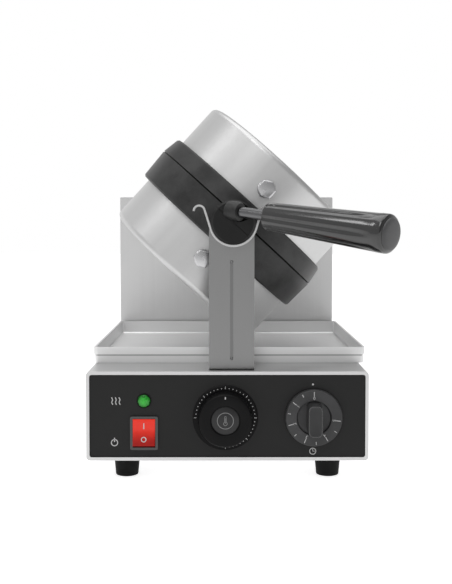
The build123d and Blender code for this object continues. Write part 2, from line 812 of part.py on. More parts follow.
# Rear cover on the lips, with a field of vent slots, and its screws
rear_cover_width = column_width - 2 * cover_plate_margin
rear_cover_height = column_height - 2 * cover_plate_margin
with BuildPart() as rear_cover:
    with BuildSketch(facing_front(0, back_y, column_mid)):
        RectangleRounded(rear_cover_width, rear_cover_height, bend_radius)
        with GridLocations(vent_pitch_x, vent_pitch_y, vent_columns, vent_rows):
            SlotOverall(vent_length, vent_width, mode=Mode.SUBTRACT)
        with GridLocations(rear_screw_x, rear_screw_z, 2, 2):
            Circle(small_screw_radius + screw_clearance, mode=Mode.SUBTRACT)
    extrude(amount=-sheet)
rear_cover.part.label = "rear_cover"
export_step(rear_cover.part, "parts/rear_cover.step")

with BuildPart() as rear_cover_screws:
    with BuildSketch(facing_front(0, back_y + sheet, column_mid)):
        with GridLocations(rear_screw_x, rear_screw_z, 2, 2):
            Circle(small_head_radius)
    extrude(amount=-small_head_height)
    with BuildSketch(facing_front(0, back_y + sheet, column_mid)):
        with GridLocations(rear_screw_x, rear_screw_z, 2, 2):
            Circle(small_screw_radius)
    extrude(amount=sheet + column_sheet + small_head_radius)
rear_cover_screws.part.label = "rear_cover_screws"
export_step(rear_cover_screws.part, "parts/rear_cover_screws.step")

# Bearing: a flanged housing through the column's front wall, with a bronze bush
bearing_y = column_front_y - bearing_flange
bearing_end_y = column_front_y + bearing_hub_length
with BuildPart() as bearing_housing:
    with BuildSketch(facing_front(axis_x, column_front_y, axis_z)):
        Circle(bearing_flange_radius)
    extrude(amount=bearing_flange)
    chamfer(bearing_housing.faces().sort_by(Axis.Y)[0].edges(), bearing_chamfer)
    with BuildSketch(facing_front(axis_x, column_front_y, axis_z)):
        Circle(bearing_hub_radius)
    extrude(amount=-bearing_hub_length)
    with BuildSketch(facing_front(axis_x, bearing_y, axis_z)):
        Circle(bush_radius + fixed_clearance)
        with PolarLocations(screw_circle, bearing_screw_count, bearing_screw_turn):
            Circle(small_screw_radius + screw_clearance)
    extrude(amount=-bearing_flange - bearing_hub_length, mode=Mode.SUBTRACT)
    with BuildSketch(facing_front(axis_x, bearing_end_y, axis_z)):
        with Locations((0, stop_pin_circle)):
            Circle(stop_pin_radius + fixed_clearance)
    extrude(amount=stop_pin_depth, mode=Mode.SUBTRACT)
bearing_housing.part.label = "bearing_housing"
export_step(bearing_housing.part, "parts/bearing_housing.step")

with BuildPart() as bearing_bush:
    with BuildSketch(facing_front(axis_x, bearing_y, axis_z)):
        Circle(bush_radius)
        Circle(shaft_radius + shaft_clearance, mode=Mode.SUBTRACT)
    extrude(amount=-bearing_flange - bearing_hub_length)
bearing_bush.part.label = "bearing_bush"
export_step(bearing_bush.part, "parts/bearing_bush.step")

with BuildPart() as bearing_screws:
    with BuildSketch(facing_front(axis_x, bearing_y, axis_z)):
        with PolarLocations(screw_circle, bearing_screw_count, bearing_screw_turn):
            Circle((bearing_flange_radius - bearing_hub_radius) / 2)
    extrude(amount=small_head_height)
    with BuildSketch(facing_front(axis_x, bearing_y, axis_z)):
        with PolarLocations(screw_circle, bearing_screw_count, bearing_screw_turn):
            Circle(small_screw_radius)
    extrude(amount=-bearing_flange - column_sheet - small_head_radius)
bearing_screws.part.label = "bearing_screws"
export_step(bearing_screws.part, "parts/bearing_screws.step")

# Stop pin in the end of the bearing housing, above the shaft
with BuildPart() as stop_pin:
    with BuildSketch(facing_front(axis_x, bearing_end_y - stop_pin_depth, axis_z)):
        with Locations((0, stop_pin_circle)):
            Circle(stop_pin_radius)
    extrude(amount=-stop_pin_depth - cam_thickness)
stop_pin.part.label = "stop_pin"
export_step(stop_pin.part, "parts/stop_pin.step")

# Cable gland in the rear wall and a terminal block inside the base
with BuildPart() as cable_gland:
    with BuildSketch(facing_front(gland_x, back_y, gland_z)):
        RegularPolygon(gland_across / 2, 6, major_radius=False)
    extrude(amount=-gland_length / 3)
    with BuildSketch(facing_front(gland_x, back_y + gland_length / 3, gland_z)):
        Circle(gland_radius)
    extrude(amount=-gland_length / 3, taper=gland_draft)
    with BuildSketch(facing_front(gland_x, back_y, gland_z)):
        Circle(gland_radius)
    extrude(amount=gland_length / 2)
    with BuildSketch(facing_front(gland_x, back_y + gland_length, gland_z)):
        Circle(gland_bore_radius)
    extrude(amount=2 * gland_length, mode=Mode.SUBTRACT)
cable_gland.part.label = "cable_gland"
export_step(cable_gland.part, "parts/cable_gland.step")

with BuildPart() as gland_nut:
    with BuildSketch(facing_front(gland_x, back_y - sheet, gland_z)):
        RegularPolygon(gland_across / 2, 6, major_radius=False)
        Circle(gland_radius + fixed_clearance, mode=Mode.SUBTRACT)
    extrude(amount=gland_length / 5)
gland_nut.part.label = "gland_nut"
export_step(gland_nut.part, "parts/gland_nut.step")

terminal_pitch = terminal_width / 5
with BuildPart() as terminal_block:
    with BuildSketch(level(floor_z + sheet)):
        with Locations((terminal_x, terminal_y)):
            Rectangle(terminal_width, terminal_depth)
    extrude(amount=terminal_height)
    with BuildSketch(level(floor_z + sheet + terminal_height)):
        with Locations((terminal_x, terminal_y)):
            with GridLocations(terminal_pitch, terminal_depth / 2, 5, 2):
                Circle(terminal_pitch / 4)
    extrude(amount=-terminal_height / 3, mode=Mode.SUBTRACT)
terminal_block.part.label = "terminal_block"
export_step(terminal_block.part, "parts/terminal_block.step")

# Screws through the lips of the shell into the bottom plate
with BuildPart() as base_screws:
    with BuildSketch(level(foot_height)):
        with GridLocations(2 * base_screw_x, base_screw_spacing, 2, 3):
            Circle(small_head_radius)
    extrude(amount=-small_head_height)
    with BuildSketch(level(foot_height)):
        with GridLocations(2 * base_screw_x, base_screw_spacing, 2, 3):
            Circle(small_screw_radius)
    extrude(amount=2 * sheet + small_head_radius)
base_screws.part.label = "base_screws"
export_step(base_screws.part, "parts/base_screws.step")

# Waffle pattern: square studs in a grid, those that lie inside the cavity
stud_range = [(i - (stud_count - 1) / 2) * stud_pitch for i in range(stud_count)]
stud_limit = cavity_radius - stud_margin - stud_base / sqrt(2)
stud_places = [(x, y) for x in stud_range for y in stud_range if hypot(x, y) < stud_limit]

lug_circle = spigot_radius - lug_depth / 2
front_angle = bolt_turn - quarter

# Lower casting: ring, cavity floor with studs, spigot and lugs for the cover, journal, hub and hinge
with BuildPart() as lower_casting:
    with BuildSketch(pan_face(0)):
        with BuildLine():
            Polyline(
                (0, parting_rise - cavity_depth),
                (cavity_radius, parting_rise - cavity_depth),
                (cavity_radius + cavity_draft, lower_parting),
                (gutter_radius - gutter_width / 2, lower_parting),
                (gutter_radius, lower_parting - gutter_depth),
                (gutter_radius + gutter_width / 2, lower_parting),
                (ring_radius - ring_edge, lower_parting),
                (ring_radius, lower_parting - ring_edge),
                (ring_radius - lower_ring_draft, lower_step + ring_shoulder),
                (ring_radius - lower_ring_draft - ring_shoulder, lower_step),
                (spigot_radius, lower_step),
                (spigot_radius, lower_step - spigot_height),
                (spigot_radius - spigot_wall, lower_step - spigot_height),
                (spigot_radius - spigot_wall, lower_back),
                (heater_circle + heater_radius + heater_groove_margin, lower_back),
                (heater_circle + heater_radius + heater_groove_margin, lower_back + heater_groove_depth),
                (heater_circle - heater_radius - heater_groove_margin, lower_back + heater_groove_depth),
                (heater_circle - heater_radius - heater_groove_margin, lower_back),
                (clamp_boss_radius, lower_back),
                (clamp_boss_radius, lower_back - clamp_rise),
                (0, lower_back - clamp_rise),
                close=True,
            )
        make_face()
    revolve(axis=pan_axis)
    with BuildSketch(pan_level(parting_rise - cavity_depth)):
        with Locations(*stud_places):
            Rectangle(stud_base, stud_base)
    extrude(amount=stud_height, taper=stud_taper)
    with BuildSketch(pan_level(lower_back)):
        with PolarLocations(lug_circle, bolt_count, front_angle):
            Rectangle(lug_depth + spigot_wall, lug_width)
        Circle(spigot_radius, mode=Mode.INTERSECT)
        Circle(spigot_radius - lug_depth, mode=Mode.SUBTRACT)
    extrude(amount=lower_step - bolt_offset - lug_overlap - lower_back)
    with BuildSketch(pan_face(journal_length)):
        Circle(journal_radius)
        with Locations((0, journal_radius - parting_gap / 2)):
            Rectangle(2 * journal_radius, 2 * journal_radius, mode=Mode.SUBTRACT)
    extrude(amount=gutter_radius - journal_length)
    chamfer(
        lower_casting.edges().filter_by(GeomType.CIRCLE).group_by(Axis.Y)[0],
        journal_chamfer,
    )
    with BuildSketch(pan_face(-gutter_radius)):
        Circle(hub_radius)
        with Locations((0, hub_radius + lower_parting - hub_relief)):
            Rectangle(2 * hub_radius, 2 * hub_radius, mode=Mode.SUBTRACT)
    extrude(amount=gutter_radius - ring_radius - journal_relief)
    with BuildSketch(pan_face(-ring_radius - journal_relief)):
        Circle(hub_radius)
    extrude(amount=-hub_length)
    for side in (-1, 1):
        for ear in (-1, 1):
            ear_t = side * hinge_spread + ear * hinge_knuckle_offset
            ear_plane = Plane(
                origin=pan_centre + across * (ear_t - lower_knuckle_width / 2),
                x_dir=(0, 1, 0),
                z_dir=across,
            )
            with BuildSketch(ear_plane):
                with BuildLine():
                    Polyline(
                        (ring_depth(ear_t), lower_step / 2),
                        (hinge_reach, lower_step / 2),
                        (hinge_reach + hinge_knuckle_radius, 0),
                        (hinge_reach + hinge_knuckle_radius, hinge_rise),
                        (hinge_reach - hinge_knuckle_radius, hinge_rise),
                        (hinge_reach - hinge_knuckle_radius, lower_parting - journal_relief),
                        (ring_depth(ear_t), lower_parting - journal_relief),
                        close=True,
                    )
                make_face()
                with Locations((hinge_reach, hinge_rise)):
                    Circle(hinge_knuckle_radius)
                    Circle(hinge_pin_radius + fixed_clearance, mode=Mode.SUBTRACT)
            extrude(amount=lower_knuckle_width)
    for step in range(bolt_count):
        angle = front_angle + step * 360 / bolt_count
        with BuildSketch(pan_side(angle, lower_step - bolt_offset).offset(spigot_radius + bolt_bore_start)):
            Circle(bolt_radius + bolt_clearance)
        extrude(amount=-bolt_length, mode=Mode.SUBTRACT)
    with BuildSketch(pan_face(-hub_end)):
        Circle(shaft_radius + fixed_clearance)
    extrude(amount=shaft_seat_depth, mode=Mode.SUBTRACT)
    with BuildSketch(pan_side(0, 0).offset(-hub_radius - bolt_bore_start)):
        with Locations(cross_pin_place):
            Circle(cross_pin_radius + fixed_clearance)
    extrude(amount=2 * hub_radius + 2 * bolt_bore_start, mode=Mode.SUBTRACT)
    with BuildSketch(pan_level(lower_back - clamp_rise)):
        Circle(clamp_screw_radius + fixed_clearance)
    extrude(amount=clamp_rise + plate_thickness / 2, mode=Mode.SUBTRACT)
lower_casting.part.label = "lower_casting"
export_step(lower_casting.part, "parts/lower_casting.step")

# Upper casting: the same pattern upside down, with its half of the journal and the handle's seat
with BuildPart() as upper_casting:
    with BuildSketch(pan_face(0)):
        with BuildLine():
            Polyline(
                (0, parting_rise + cavity_depth),
                (cavity_radius, parting_rise + cavity_depth),
                (cavity_radius + cavity_draft, upper_parting),
                (ring_radius - ring_edge, upper_parting),
                (ring_radius, upper_parting + ring_edge),
                (ring_radius - upper_ring_draft, upper_step - ring_shoulder),
                (ring_radius - upper_ring_draft - ring_shoulder, upper_step),
                (spigot_radius, upper_step),
                (spigot_radius, upper_back),
                (heater_circle + heater_radius + heater_groove_margin, upper_back),
                (heater_circle + heater_radius + heater_groove_margin, upper_back - heater_groove_depth),
                (heater_circle - heater_radius - heater_groove_margin, upper_back - heater_groove_depth),
                (heater_circle - heater_radius - heater_groove_margin, upper_back),
                (clamp_boss_radius, upper_back),
                (clamp_boss_radius, upper_back + clamp_rise),
                (0, upper_back + clamp_rise),
                close=True,
            )
        make_face()
    revolve(axis=pan_axis)
    with BuildSketch(pan_level(parting_rise + cavity_depth)):
        with Locations(*stud_places):
            Rectangle(stud_base, stud_base)
    extrude(amount=-stud_height, taper=stud_taper)
    with BuildSketch(pan_level(upper_back)):
        with PolarLocations(lug_circle, bolt_count, front_angle):
            Rectangle(lug_depth + spigot_wall, lug_width)
        Circle(spigot_radius, mode=Mode.INTERSECT)
        Circle(spigot_radius - lug_depth, mode=Mode.SUBTRACT)
    extrude(amount=upper_step + bolt_offset + lug_overlap - upper_back)
    with BuildSketch(pan_face(journal_length)):
        Circle(journal_radius)
    extrude(amount=ring_radius + journal_relief - journal_length)
    chamfer(
        upper_casting.edges().filter_by(GeomType.CIRCLE).group_by(Axis.Y)[0],
        journal_chamfer,
    )
    with BuildSketch(pan_face(journal_length - journal_chamfer)):
        Circle(journal_radius)
        with Locations((0, upper_parting - journal_radius)):
            Rectangle(2 * journal_radius, 2 * journal_radius, mode=Mode.SUBTRACT)
    extrude(amount=gutter_radius + journal_chamfer - journal_length)
    with BuildSketch(pan_level(parting_gap / 2)):
        with Locations((0, -journal_length)):
            Rectangle(3 * journal_radius, 2 * (journal_length - ring_radius))
    extrude(amount=-2 * journal_radius, mode=Mode.SUBTRACT)
    with BuildSketch(handle_at(handle_seat)):
        Circle(handle_nut_across / sqrt(3) + handle_nut_room)
    extrude(amount=2 * journal_radius, mode=Mode.SUBTRACT)
    with BuildSketch(handle_at(handle_seat)):
        Circle(handle_rod_radius + fixed_clearance)
    extrude(amount=-handle_seat - handle_thread, mode=Mode.SUBTRACT)
    for side in (-1, 1):
        knuckle_plane = Plane(
            origin=pan_centre + across * (side * hinge_spread - upper_knuckle_width / 2),
            x_dir=(0, 1, 0),
            z_dir=across,
        )
        with BuildSketch(knuckle_plane):
            with BuildLine():
                Polyline(
                    (hinge_reach, hinge_rise - hinge_knuckle_radius / 2),
                    (hinge_reach, hinge_rise + hinge_knuckle_radius),
                    (ring_depth(hinge_spread), hinge_rise + hinge_knuckle_radius),
                    (ring_depth(hinge_spread), hinge_rise - hinge_knuckle_radius / 2),
                    close=True,
                )
            make_face()
            with Locations((hinge_reach, hinge_rise)):
                Circle(hinge_knuckle_radius)
                Circle(hinge_pin_radius + hinge_pin_clearance, mode=Mode.SUBTRACT)
        extrude(amount=upper_knuckle_width)
    for step in range(bolt_count):
        angle = front_angle + step * 360 / bolt_count
        with BuildSketch(pan_side(angle, upper_step + bolt_offset).offset(spigot_radius + bolt_bore_start)):
            Circle(bolt_radius + bolt_clearance)
        extrude(amount=-bolt_length, mode=Mode.SUBTRACT)
    with BuildSketch(pan_level(upper_back + clamp_rise)):
        Circle(clamp_screw_radius + fixed_clearance)
    extrude(amount=-clamp_rise - plate_thickness / 2, mode=Mode.SUBTRACT)
upper_casting.part.label = "upper_casting"
export_step(upper_casting.part, "parts/upper_casting.step")

# Heating elements, clamp plates, insulation and covers, once above and once below the pan
for half, up, back, edge in (
    ("upper", 1, upper_back, upper_step),
    ("lower", -1, lower_back, lower_step),
):
    heater_level = back - up * (heater_groove_depth - heater_radius - fixed_clearance)
    heater_start = quarter + (360 - heater_arc) / 2
    with BuildPart() as heater:
        with BuildLine(pan_level(heater_level)) as ring_path:
            CenterArc((0, 0), heater_circle, heater_start, heater_arc)
        ring_end = ring_path.line
        with BuildSketch(Plane(origin=ring_end @ 0, x_dir=normal, z_dir=ring_end % 0)):
            Circle(heater_radius)
        sweep(path=ring_end)
        for end in (0, 1):
            with BuildSketch(Plane(origin=ring_end @ end, x_dir=across, z_dir=normal * up)):
                Circle(heater_radius)
            extrude(amount=heater_leg)
    heater.part.label = f"{half}_heater"
    export_step(heater.part, f"parts/{half}_heater.step")

    clamp_level = back + up * clamp_rise
    leg_slot_place = (0, heater_circle * cos(radians((360 - heater_arc) / 2)))
    leg_reach = heater_circle * sin(radians((360 - heater_arc) / 2)) + heater_radius + leg_slot_gap
    with BuildPart() as clamp_plate:
        with BuildSketch(pan_level(clamp_level)):
            Circle(clamp_radius)
            with Locations(leg_slot_place):
                Rectangle(2 * leg_reach, leg_slot_width, mode=Mode.SUBTRACT)
            Circle(clamp_screw_radius + screw_clearance, mode=Mode.SUBTRACT)
        extrude(amount=up * clamp_thickness)
    clamp_plate.part.label = f"{half}_clamp_plate"
    export_step(clamp_plate.part, f"parts/{half}_clamp_plate.step")

    screw_level = clamp_level + up * clamp_thickness
    with BuildPart() as clamp_screw:
        with BuildSketch(pan_level(screw_level)):
            RegularPolygon(clamp_head_radius, 6, major_radius=False)
        extrude(amount=up * clamp_head_height)
        with BuildSketch(pan_level(screw_level)):
            Circle(clamp_screw_radius)
        extrude(amount=-up * (clamp_thickness + clamp_rise + plate_thickness / 3))
    clamp_screw.part.label = f"{half}_clamp_screw"
    export_step(clamp_screw.part, f"parts/{half}_clamp_screw.step")

    insulation_top = cover_reach - cover_sheet - insulation_gap
    with BuildPart() as insulation:
        with BuildSketch(pan_level(screw_level)):
            Circle(insulation_radius)
            Circle(clamp_boss_radius, mode=Mode.SUBTRACT)
            with Locations(leg_slot_place):
                Rectangle(2 * leg_reach, leg_slot_width, mode=Mode.SUBTRACT)
        extrude(amount=up * insulation_top - screw_level)
    insulation.part.label = f"{half}_insulation"
    export_step(insulation.part, f"parts/{half}_insulation.step")

    with BuildPart() as cover:
        with BuildSketch(pan_face(0)):
            with BuildLine():
                outside = FilletPolyline(
                    (cover_radius, edge),
                    (cover_radius, up * cover_reach),
                    (0, up * cover_reach),
                    radius=cover_corner,
                )
                inside = FilletPolyline(
                    (cover_radius - cover_sheet, edge),
                    (cover_radius - cover_sheet, up * (cover_reach - cover_sheet)),
                    (0, up * (cover_reach - cover_sheet)),
                    radius=cover_corner - cover_sheet,
                )
                Line(outside @ 0, inside @ 0)
                Line(outside @ 1, inside @ 1)
            make_face()
        revolve(axis=pan_axis)
        for step in range(bolt_count):
            angle = front_angle + step * 360 / bolt_count
            with BuildSketch(pan_side(angle, edge + up * bolt_offset).offset(cover_radius + bolt_bore_start)):
                Circle(bolt_radius + bolt_clearance)
            extrude(amount=-bolt_radius, mode=Mode.SUBTRACT)
    cover.part.label = f"{half}_cover"
    export_step(cover.part, f"parts/{half}_cover.step")

    with BuildPart() as cover_bolts:
        for step in range(bolt_count):
            angle = front_angle + step * 360 / bolt_count
            seat = pan_side(angle, edge + up * bolt_offset).offset(cover_radius + fixed_clearance)
            with BuildSketch(seat):
                RegularPolygon(bolt_across / 2, 6, major_radius=False)
            extrude(amount=bolt_head)
            with BuildSketch(seat):
                Circle(bolt_radius)
            extrude(amount=bolt_radius - bolt_length)
    cover_bolts.part.label = f"{half}_cover_bolts"
    export_step(cover_bolts.part, f"parts/{half}_cover_bolts.step")

# Hinge pins, pressed into the outer knuckles and headed at both ends
pin_half = hinge_knuckle_offset + lower_knuckle_width / 2
with BuildPart() as hinge_pins:
    for side in (-1, 1):
        pin_centre = pan_centre + across * (side * hinge_spread) + normal * hinge_rise
        pin_plane = Plane(
            origin=pin_centre + forward * -hinge_reach,
            x_dir=(0, 1, 0),
            z_dir=across,
        )
        with BuildSketch(pin_plane):
            Circle(hinge_pin_radius)
        extrude(amount=pin_half, both=True)
        for end in (-1, 1):
            with BuildSketch(pin_plane.offset(end * pin_half)):
                Circle(hinge_pin_head_radius)
            extrude(amount=end * hinge_pin_head)
hinge_pins.part.label = "hinge_pins"
export_step(hinge_pins.part, "parts/hinge_pins.step")

# Rear shaft, hollow for the wires, seated in the hub and carried by the bush
cam_y = bearing_end_y + cam_gap
collar_y = cam_y + cam_thickness
shaft_start_y = pan_y + hub_end - shaft_seat_depth
shaft_end_y = collar_y + collar_length + shaft_tail
with BuildPart() as rear_shaft:
    with BuildSketch(facing_front(axis_x, shaft_start_y, axis_z)):
        Circle(shaft_radius)
        Circle(shaft_bore_radius, mode=Mode.SUBTRACT)
    extrude(amount=shaft_start_y - shaft_end_y)
    with BuildSketch(pan_side(0, 0).offset(-hub_radius)):
        with Locations(cross_pin_place):
            Circle(cross_pin_radius + fixed_clearance)
    extrude(amount=2 * hub_radius, mode=Mode.SUBTRACT)
rear_shaft.part.label = "rear_shaft"
export_step(rear_shaft.part, "parts/rear_shaft.step")

with BuildPart() as cross_pin:
    with BuildSketch(pan_side(0, 0).offset(-hub_radius)):
        with Locations(cross_pin_place):
            Circle(cross_pin_radius)
    extrude(amount=2 * hub_radius)
cross_pin.part.label = "cross_pin"
export_step(cross_pin.part, "parts/cross_pin.step")

# Stop cam: a sector on the shaft that meets the stop pin at both ends of half a turn
pin_half_angle = degrees(asin(stop_pin_radius / stop_pin_circle))
cam_angle = 360 - turn_range - 2 * pin_half_angle - 2 * stop_play
cam_start = quarter - pan_tilt - pin_half_angle - stop_play - cam_angle
collar_bore = shaft_radius + fixed_clearance
with BuildPart() as stop_cam:
    with BuildSketch(facing_front(axis_x, cam_y, axis_z)):
        with BuildLine():
            sector = CenterArc((0, 0), cam_radius, cam_start, cam_angle)
            Polyline(sector @ 1, (0, 0), sector @ 0)
        make_face()
        Circle(stop_pin_circle - stop_pin_radius - cam_gap)
        Circle(collar_bore, mode=Mode.SUBTRACT)
    extrude(amount=-cam_thickness)
stop_cam.part.label = "stop_cam"
export_step(stop_cam.part, "parts/stop_cam.step")

# Collars that keep the shaft in the bearing, one at each end of it
with BuildPart() as rear_collar:
    with BuildSketch(facing_front(axis_x, collar_y, axis_z)):
        Circle(collar_radius)
        Circle(collar_bore, mode=Mode.SUBTRACT)
    extrude(amount=-collar_length)
rear_collar.part.label = "rear_collar"
export_step(rear_collar.part, "parts/rear_collar.step")

with BuildPart() as front_collar:
    with BuildSketch(facing_front(axis_x, bearing_y - small_head_height - cam_gap, axis_z)):
        Circle(collar_radius)
        Circle(collar_bore, mode=Mode.SUBTRACT)
    extrude(amount=collar_length)
front_collar.part.label = "front_collar"
export_step(front_collar.part, "parts/front_collar.step")

# Handle: a rod in the upper journal, its lock nut, and a fluted tapered grip with an end cap
with BuildPart() as handle_nut:
    with BuildSketch(handle_at(handle_seat)):
        RegularPolygon(handle_nut_across / 2, 6, major_radius=False)
        Circle(handle_rod_radius + fixed_clearance, mode=Mode.SUBTRACT)
    extrude(amount=handle_nut_thickness)
handle_nut.part.label = "handle_nut"
export_step(handle_nut.part, "parts/handle_nut.step")

grip_end = grip_start + grip_length
rod_end = grip_end - rod_tail
with BuildPart() as handle_rod:
    with BuildSketch(handle_at(-handle_thread)):
        Circle(handle_rod_radius)
    extrude(amount=handle_thread + rod_end)
handle_rod.part.label = "handle_rod"
export_step(handle_rod.part, "parts/handle_rod.step")


def grip_section(radius):
    """Circle with shallow flutes all round it."""
    Circle(radius)
    flute = flute_share * radius
    with PolarLocations(radius + flute - flute_depth, flute_count):
        Circle(flute, mode=Mode.SUBTRACT)


grip_slope = (grip_end_radius - grip_root_radius) / grip_length
collar_start_radius = grip_end_radius - grip_slope * grip_collar
with BuildPart() as handle_grip:
    with BuildSketch(handle_at(grip_start)):
        grip_section(grip_root_radius)
    with BuildSketch(handle_at(grip_end - grip_collar)):
        grip_section(collar_start_radius)
    loft()
    with BuildSketch(handle_at(grip_end - grip_collar)):
        Circle(collar_start_radius)
    extrude(amount=grip_collar)
    fillet(
        handle_grip.edges().filter_by(GeomType.CIRCLE).sort_by_distance(handle_at(grip_end).origin)[0],
        grip_collar_fillet,
    )
    with BuildSketch(handle_at(grip_start)):
        Circle(handle_rod_radius + grip_bore_gap)
    extrude(amount=rod_end - grip_start + grip_bore_gap, mode=Mode.SUBTRACT)
handle_grip.part.label = "handle_grip"
export_step(handle_grip.part, "parts/handle_grip.step")

with BuildPart() as handle_end_cap:
    with BuildSketch(handle_at(grip_end)):
        Circle(collar_start_radius - grip_collar_fillet)
    extrude(amount=end_cap_thickness)
    chamfer(
        handle_end_cap.edges().filter_by(GeomType.CIRCLE).sort_by_distance(handle_at(2 * grip_end).origin)[0],
        end_cap_thickness / 3,
    )
handle_end_cap.part.label = "handle_end_cap"
export_step(handle_end_cap.part, "parts/handle_end_cap.step")
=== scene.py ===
from math import cos, pi, radians, sin

import bmesh
import bpy
from mathutils import Matrix, Vector


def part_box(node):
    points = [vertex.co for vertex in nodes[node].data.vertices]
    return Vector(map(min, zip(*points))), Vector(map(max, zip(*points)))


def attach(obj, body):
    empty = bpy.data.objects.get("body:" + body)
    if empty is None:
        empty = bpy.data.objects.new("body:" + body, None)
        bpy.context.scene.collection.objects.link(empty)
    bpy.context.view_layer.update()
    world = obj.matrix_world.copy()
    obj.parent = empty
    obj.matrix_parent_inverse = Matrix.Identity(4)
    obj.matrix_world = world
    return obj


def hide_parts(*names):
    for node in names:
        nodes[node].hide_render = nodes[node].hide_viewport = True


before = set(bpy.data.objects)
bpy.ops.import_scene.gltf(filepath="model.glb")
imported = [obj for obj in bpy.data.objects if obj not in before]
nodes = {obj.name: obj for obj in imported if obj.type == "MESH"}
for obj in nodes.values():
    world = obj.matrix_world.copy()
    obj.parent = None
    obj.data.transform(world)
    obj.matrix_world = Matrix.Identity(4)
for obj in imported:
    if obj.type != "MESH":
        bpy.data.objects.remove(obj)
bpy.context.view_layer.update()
mm = 0.001

# Places on the machine, in millimetres from the middle of the base on the table
low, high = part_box("base_shell")
base_middle = Vector(((low.x + high.x) / 2, (low.y + high.y) / 2, 0))
panel_y = -168.8
lamp = (-76.7, 77.2)
switch = (-76.7, 47.5)
thermostat = (-1.9, 61.7)
timer = (79.4, 62.0)
foot_places = [(x, y) for x in (-96, 96) for y in (-133, 133)]
support_x = 4.0
bead_ends = (114.9, 204.9)
shaft_x = 5.5
shaft_height = 241.3
pan_centre = base_middle + Vector((shaft_x, -41, shaft_height)) * mm
pan_tilt = radians(42.5)
pan_turn = (0, -pan_tilt, 0)
across = Vector((cos(pan_tilt), 0, -sin(pan_tilt)))
normal = Vector((sin(pan_tilt), 0, cos(pan_tilt)))
handle_root = (-5.4, -126.0, 8.6)
handle_turn = radians(49.1)
handle_lift = radians(33.5)


def standing(x, y, z):
    """Frame that stands upright."""
    return Matrix.Translation(base_middle + Vector((x, y, z)) * mm)


def facing_front(x, y, z):
    """Frame on the front: local x to the right, local y up and local z forward."""
    return standing(x, y, z) @ Matrix.Rotation(pi / 2, 4, "X")


def above_panel(place, height=0.0):
    """Frame over the middle of a control, at a height above the front panel."""
    x, z = place
    return facing_front(x, panel_y - height, z)


def frame_of(origin, x_dir, z_dir):
    """Frame from its origin, its local x and its local z."""
    z_dir = z_dir.normalized()
    x_dir = x_dir.normalized()
    turn = Matrix((x_dir, z_dir.cross(x_dir), z_dir)).transposed()
    return Matrix.Translation(origin) @ turn.to_4x4()


def on_pan(t, y, n):
    """A point from the pan's centre: across it, to the rear and along its normal."""
    return pan_centre + (across * t + Vector((0, y, 0)) + normal * n) * mm


def handle_at(distance):
    """Frame square to the handle, at a distance from its root along it."""
    along = (
        across * (sin(handle_turn) * cos(handle_lift))
        + normal * (sin(handle_turn) * sin(handle_lift))
        + Vector((0, -cos(handle_turn), 0))
    )
    place = on_pan(*handle_root) + along * distance * mm
    return frame_of(place, along.cross(Vector((0, -1, 0))), along)


# Materials


class Value:
    """The output of a shader node. Its operators add Math nodes."""

    def __init__(self, finish, socket):
        self.finish = finish
        self.socket = socket

    def math(self, operation, *terms):
        settings = {"operation": operation}
        return self.finish.node("ShaderNodeMath", settings, dict(enumerate(terms)))

    def __add__(self, other):
        return self.math("ADD", self, other)

    def __radd__(self, other):
        return self.math("ADD", other, self)

    def __sub__(self, other):
        return self.math("SUBTRACT", self, other)

    def __rsub__(self, other):
        return self.math("SUBTRACT", other, self)

    def __mul__(self, other):
        return self.math("MULTIPLY", self, other)

    def __lt__(self, other):
        return self.math("LESS_THAN", self, other)

    def __abs__(self):
        return self.math("ABSOLUTE", self)

    def highest(self, other):
        """The greater of two values."""
        return self.math("MAXIMUM", self, other)

    def between(self, low, high):
        """0 below low, 1 above high and smooth between them."""
        settings = {"interpolation_type": "SMOOTHSTEP"}
        inputs = {"Value": self, "From Min": low, "From Max": high}
        return self.finish.node("ShaderNodeMapRange", settings, inputs)

    def near(self, inner, outer):
        """1 up to the inner distance from 0, 0 beyond the outer one and smooth between them."""
        return 1 - abs(self).between(inner, outer)


